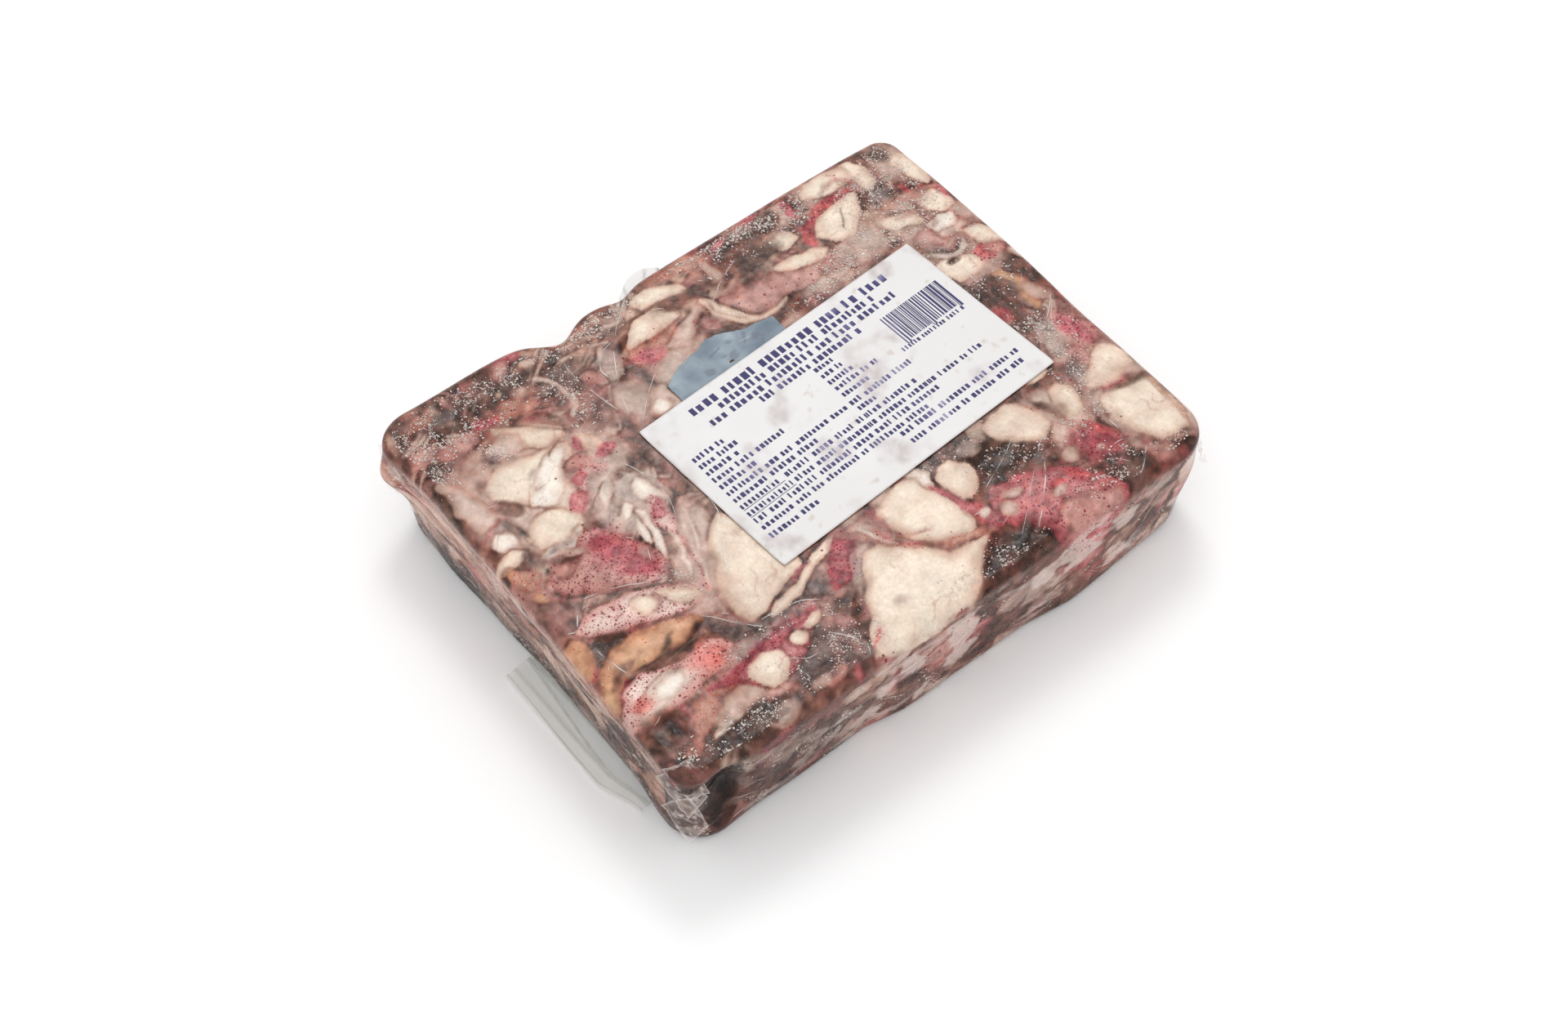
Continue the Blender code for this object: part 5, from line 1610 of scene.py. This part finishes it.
def print_strokes():
    """All strokes of the print: start, end and thickness."""
    draw = np.random.default_rng(121)
    strokes = []
    for start, end, across, height, weight in PRINT_ROWS:
        pen = weight * (0.5 + 0.2 * height)
        place = start
        left_in_word = draw.integers(3, 10)
        while place < end:
            width = height * draw.uniform(0.42, 0.68)
            strokes += print_mark(draw, place, across - height / 2, width, height, pen)
            place += width + height * 0.24
            left_in_word -= 1
            if left_in_word == 0:
                place += height * 0.5
                left_in_word = draw.integers(2, 10)
    for start, end, across in UNDERLINED:
        strokes.append((start, across - 1.35, end, across - 1.35, 0.22))
        place = start
        while place < end - 1.0:
            strokes += print_mark(draw, place, across - 0.9, 0.85, 1.8, 0.46)
            place += 1.4
    left, right, low, top = BARCODE
    place = left
    while place < right:
        width = draw.choice((0.18, 0.26, 0.40, 0.56, 0.80), p=(0.14, 0.2, 0.26, 0.24, 0.16))
        guard = place < left + 1.5 or place > right - 1.5 or abs(place - (left + right) / 2) < 1
        drop = 1.0 if guard else 0.0
        strokes.append((place + width / 2, low - drop, place + width / 2, top, width))
        place += width + draw.choice((0.20, 0.30, 0.44, 0.62), p=(0.35, 0.35, 0.2, 0.1))
    return strokes


def build_print():
    """Marks like print on the label, each a thin raised stroke cut into short lengths."""
    points = []
    faces = []
    for ax, ay, bx, by, pen in print_strokes():
        length = np.hypot(bx - ax, by - ay)
        along = np.array((bx - ax, by - ay)) / length
        side = np.array((-along[1], along[0])) * pen / 2
        pieces = max(1, int(np.ceil(length / 1.2)))
        ends = np.array((ax, ay)) + along * length * (np.arange(pieces + 1) / pieces)[:, None]
        first = len(points)
        for end in ends:
            points += [end - side, end + side]
        faces += [(k, k + 2, k + 3, k + 1) for k in range(first, first + 2 * pieces, 2)]
    flat = np.array(points)
    x, y = from_label(flat[:, 0], flat[:, 1])
    place = np.stack((x, y, label_height(x, y) + LABEL_THICKNESS + 0.025), axis=1)
    worn = np.clip(stains(place) * 1.3, 0, 1)
    band = np.exp(-((x - 38.0) / 7.0) ** 2) * smoothstep(fractal(place, 7.0, 122) * 2 + 0.4)
    fade = np.clip(0.03 + 0.72 * np.maximum(worn * 0.8, band), 0, 0.9)
    colour = np.tile((26.0, 20.0, 84.0), (len(place), 1))
    shift(colour, (222.0, 216.0, 220.0), fade)
    look = paper_material("label_print_looks", 0.55)
    ink = new_mesh("label_print", place, faces, look, {"paint": linear(colour)})
    declare(ink, "label_paper")


# The torn tag: corners, soft smudges with their radius, and the two ends of short dashes
TAG_OUTLINE = (
    (-19, 22), (-18.3, 29), (-18.5, 35), (-12, 38.6), (-5, 40), (0, 42), (5, 41),
    (10, 38.4), (20, 37), (20.5, 24),
)
TAG_SMUDGES = ((4.2, 37.0, 1.9), (1.8, 32.2, 2.3), (12.0, 34.5, 1.4), (9.4, 36.6, 1.0), (-6.0, 31.4, 1.6))
TAG_DASHES = (((8, 34), (10, 37.6)), ((12, 31), (14, 34)), ((-3, 36), (1, 37)), ((-9, 28), (-5, 28.4)))


def build_tag():
    """The torn blue tag under the film."""
    corners = np.array(TAG_OUTLINE, float)
    rim = []
    for start, end in zip(corners, np.roll(corners, -1, axis=0)):
        for part in np.arange(16) / 16:
            rim.append(start + (end - start) * part)
    rim = np.array(rim)
    rough = np.stack((rim[:, 0], rim[:, 1], np.zeros(len(rim))), axis=1)
    rim += 0.45 * drift(rough, 2.0, 131)
    centre = np.array((1.0, 31.0))
    rings = 26
    flat = np.vstack([centre + (rim - centre) * (ring / rings) for ring in range(1, rings + 1)])
    height = HEIGHT - TAG_HOLLOW + 0.62 + sag(flat[:, 0], flat[:, 1])
    place = np.stack((flat[:, 0], flat[:, 1], height), axis=1)
    place[:, 2] += 0.05 * fractal(place, 5.0, 133)
    colour = np.tile((116.0, 131.0, 143.0), (len(place), 1))
    colour += fractal(place, 5.0, 134, 4)[:, None] * np.array((52.0, 48.0, 42.0))
    dark = np.zeros(len(place))
    for cx, cy, radius in TAG_SMUDGES:
        away = np.hypot(flat[:, 0] - cx, flat[:, 1] - cy) / radius + 1.2 * fractal(place, 1.6, 135)
        dark = np.maximum(dark, 0.6 * smoothstep((1.0 - away) * 2.0))
    for start, end in TAG_DASHES:
        away = line_distance(flat, np.array((start, end), float))
        dark = np.maximum(dark, smoothstep(1.2 - away / 0.35))
    shift(colour, (84.0, 92.0, 106.0), 0.8 * dark)
    look = paper_material("tag_looks", 0.5)
    tag = new_mesh("blue_tag", place, ring_faces(len(rim), rings), look, {"paint": linear(colour)})
    declare(tag, "tag_paper", "blue_tag")


# Folds of the film ends, drawn as whitish lines of painted highlight: place, slope, and for the one in
# front also width and strength
FRONT_FOLDS = ((0.30, 0.10, 0.03, 0.3), (0.58, -0.16, 0.02, 0.45), (0.72, 0.05, 0.04, 0.22))
BACK_FOLDS = ((0.32, 0.25), (0.66, -0.18))


def build_front_tail(look):
    """The end of the film that lies on the table."""
    low = -50.0
    high = 7.0
    inner = -84.0

    def front(u, v):
        y = low + (high - low) * u
        outer = -98.0 + 4.5 * smoothstep(1.0 - u / 0.28)
        x = inner + (outer - inner) * v
        wave = 0.4 * (0.5 + 0.5 * np.sin(9.0 * u)) + v * (0.5 + 0.5 * np.cos(7.0 * u))
        place = np.stack((x, y - 2.0 * v, 0.15 + wave), axis=1)
        place[:, 2] += 0.35 * np.abs(fractal(place, 9.0, 141))
        return place

    points, faces = sheet_points(100, 30, front, (0, 0, 0.06))
    edge = np.tile(np.linspace(0, 1, 31), 2 * 101)
    # Painted highlight: a whitish outer edge, and whitish lines along the folds
    haze_and_glint = 0.10 + 0.65 * smoothstep((edge - 0.94) / 0.03)
    for start, slope, width, strength in FRONT_FOLDS:
        fold_line = edge - start - slope * (points[:, 1] + 20.0) / 28.0
        haze_and_glint += strength * np.exp(-(fold_line / width) ** 2)
    haze_and_glint = np.clip(haze_and_glint, 0, 0.9)
    marks = film_marks(haze_and_glint, np.clip(haze_and_glint * 1.6 - 0.4, 0, 1))
    declare(new_mesh("film_tail_front", points, faces, look, marks), "clear_film", "film_tail_front")


def build_back_tail(look):
    """The end of the film that stands out behind."""
    def back(u, v):
        x = -9.0 + 15.0 * u
        z = 34.5 - 19.0 * v + np.sin(3.0 * u)
        _, wall = push_walls(x, np.full_like(x, HALF_WIDTH), np.minimum(z, HEIGHT))
        flare = 2.4 * np.sin(np.pi * u) ** 0.7 * (1.0 - 0.55 * v)
        x = x + 0.9 * np.sin(7.0 * v + 1.0) * (u - 0.5)
        z = z + 0.8 * v * np.sin(8.0 * u)
        place = np.stack((x, wall + 0.7 + flare, z), axis=1)
        place[:, 1] += 0.25 * cloud(place, 3.0, 144)
        return place

    points, faces = sheet_points(30, 30, back, (0, 0.06, 0))
    part = np.linspace(0, 1, 31)
    across, down = (grid.ravel() for grid in np.meshgrid(part, part, indexing="ij"))
    border = np.minimum(np.minimum(across, 1.0 - across), 1.0 - down)
    # Painted highlight: a whitish border and whitish lines along the folds
    haze_and_glint = 0.10 + 0.40 * smoothstep((0.05 - border) / 0.04)
    for start, slope in BACK_FOLDS:
        haze_and_glint += 0.22 * np.exp(-((across - start - slope * (down - 0.5)) / 0.03) ** 2)
    haze_and_glint = np.tile(haze_and_glint, 2)
    tail = new_mesh("film_tail_back", points, faces, look, film_marks(haze_and_glint, haze_and_glint))
    declare(tail, "clear_film", "film_tail_back")


def build_floor():
    """The white table."""
    half = 3000.0
    points = [(x * half, y * half, -0.05) for x, y in ((-1, -1), (1, -1), (1, 1), (-1, 1))]
    g = Graph("floor_looks")
    g.surface("Base Color", (0.96, 0.96, 0.96, 1.0))
    g.surface("Roughness", 0.9)
    g.surface("Specular IOR Level", 0.1)
    new_mesh("floor", points, ((0, 1, 2, 3),), g.material)


def build_light():
    """An even white surround, and one square soft light above and behind the block."""
    world = bpy.data.worlds.new("surround")
    world.use_nodes = True
    world.node_tree.nodes["Background"].inputs["Color"].default_value = (1.0, 1.0, 1.0, 1.0)
    world.node_tree.nodes["Background"].inputs["Strength"].default_value = 1.0
    bpy.context.scene.world = world
    data = bpy.data.lights.new("key", "AREA")
    data.shape = "SQUARE"
    data.size = LAMP_SIZE
    data.energy = LAMP_POWER
    lamp = bpy.data.objects.new("key", data)
    lamp.location = LAMP_SPOT
    lamp.rotation_euler = (-Vector(LAMP_SPOT)).to_track_quat("-Z", "Y").to_euler()
    bpy.context.scene.collection.objects.link(lamp)
    bpy.context.scene.view_settings.view_transform = "Standard"


def build_camera():
    """The photo's camera, fitted to the corners of the block and the label."""
    azimuth, elevation, roll = np.radians((AZIMUTH, ELEVATION, ROLL))
    flat = np.cos(elevation)
    back = Vector((np.sin(azimuth) * flat, -np.cos(azimuth) * flat, np.sin(elevation)))
    right = Vector((np.cos(azimuth), np.sin(azimuth), 0.0))
    up = back.cross(right)
    turned_right = right * np.cos(roll) + up * np.sin(roll)
    turned_up = up * np.cos(roll) - right * np.sin(roll)
    data = bpy.data.cameras.new("photo_camera")
    data.sensor_width = SENSOR
    data.lens = LENS
    data.clip_start = 0.05
    data.clip_end = 20.0
    camera = bpy.data.objects.new("photo_camera", data)
    axes = Matrix((turned_right, turned_up, back)).transposed().to_4x4()
    camera.matrix_world = Matrix.Translation(Vector(AIM) + back * DISTANCE) @ axes
    bpy.context.scene.collection.objects.link(camera)
    bpy.context.scene.camera = camera


top, wall = build_contents(squid_material())
build_film(film_material("film_looks", 0.008))
ridge_look = film_material("ridge_looks", 0.08)
build_ridges(ridge_look)
build_flaps(ridge_look)
build_frost(top, wall, frost_material())
build_label()
build_print()
build_tag()
tail_look = film_material("tail_looks", 0.06, (210, 212, 204), 0.12)
build_front_tail(tail_look)
build_back_tail(tail_look)
build_floor()
build_light()
build_camera()
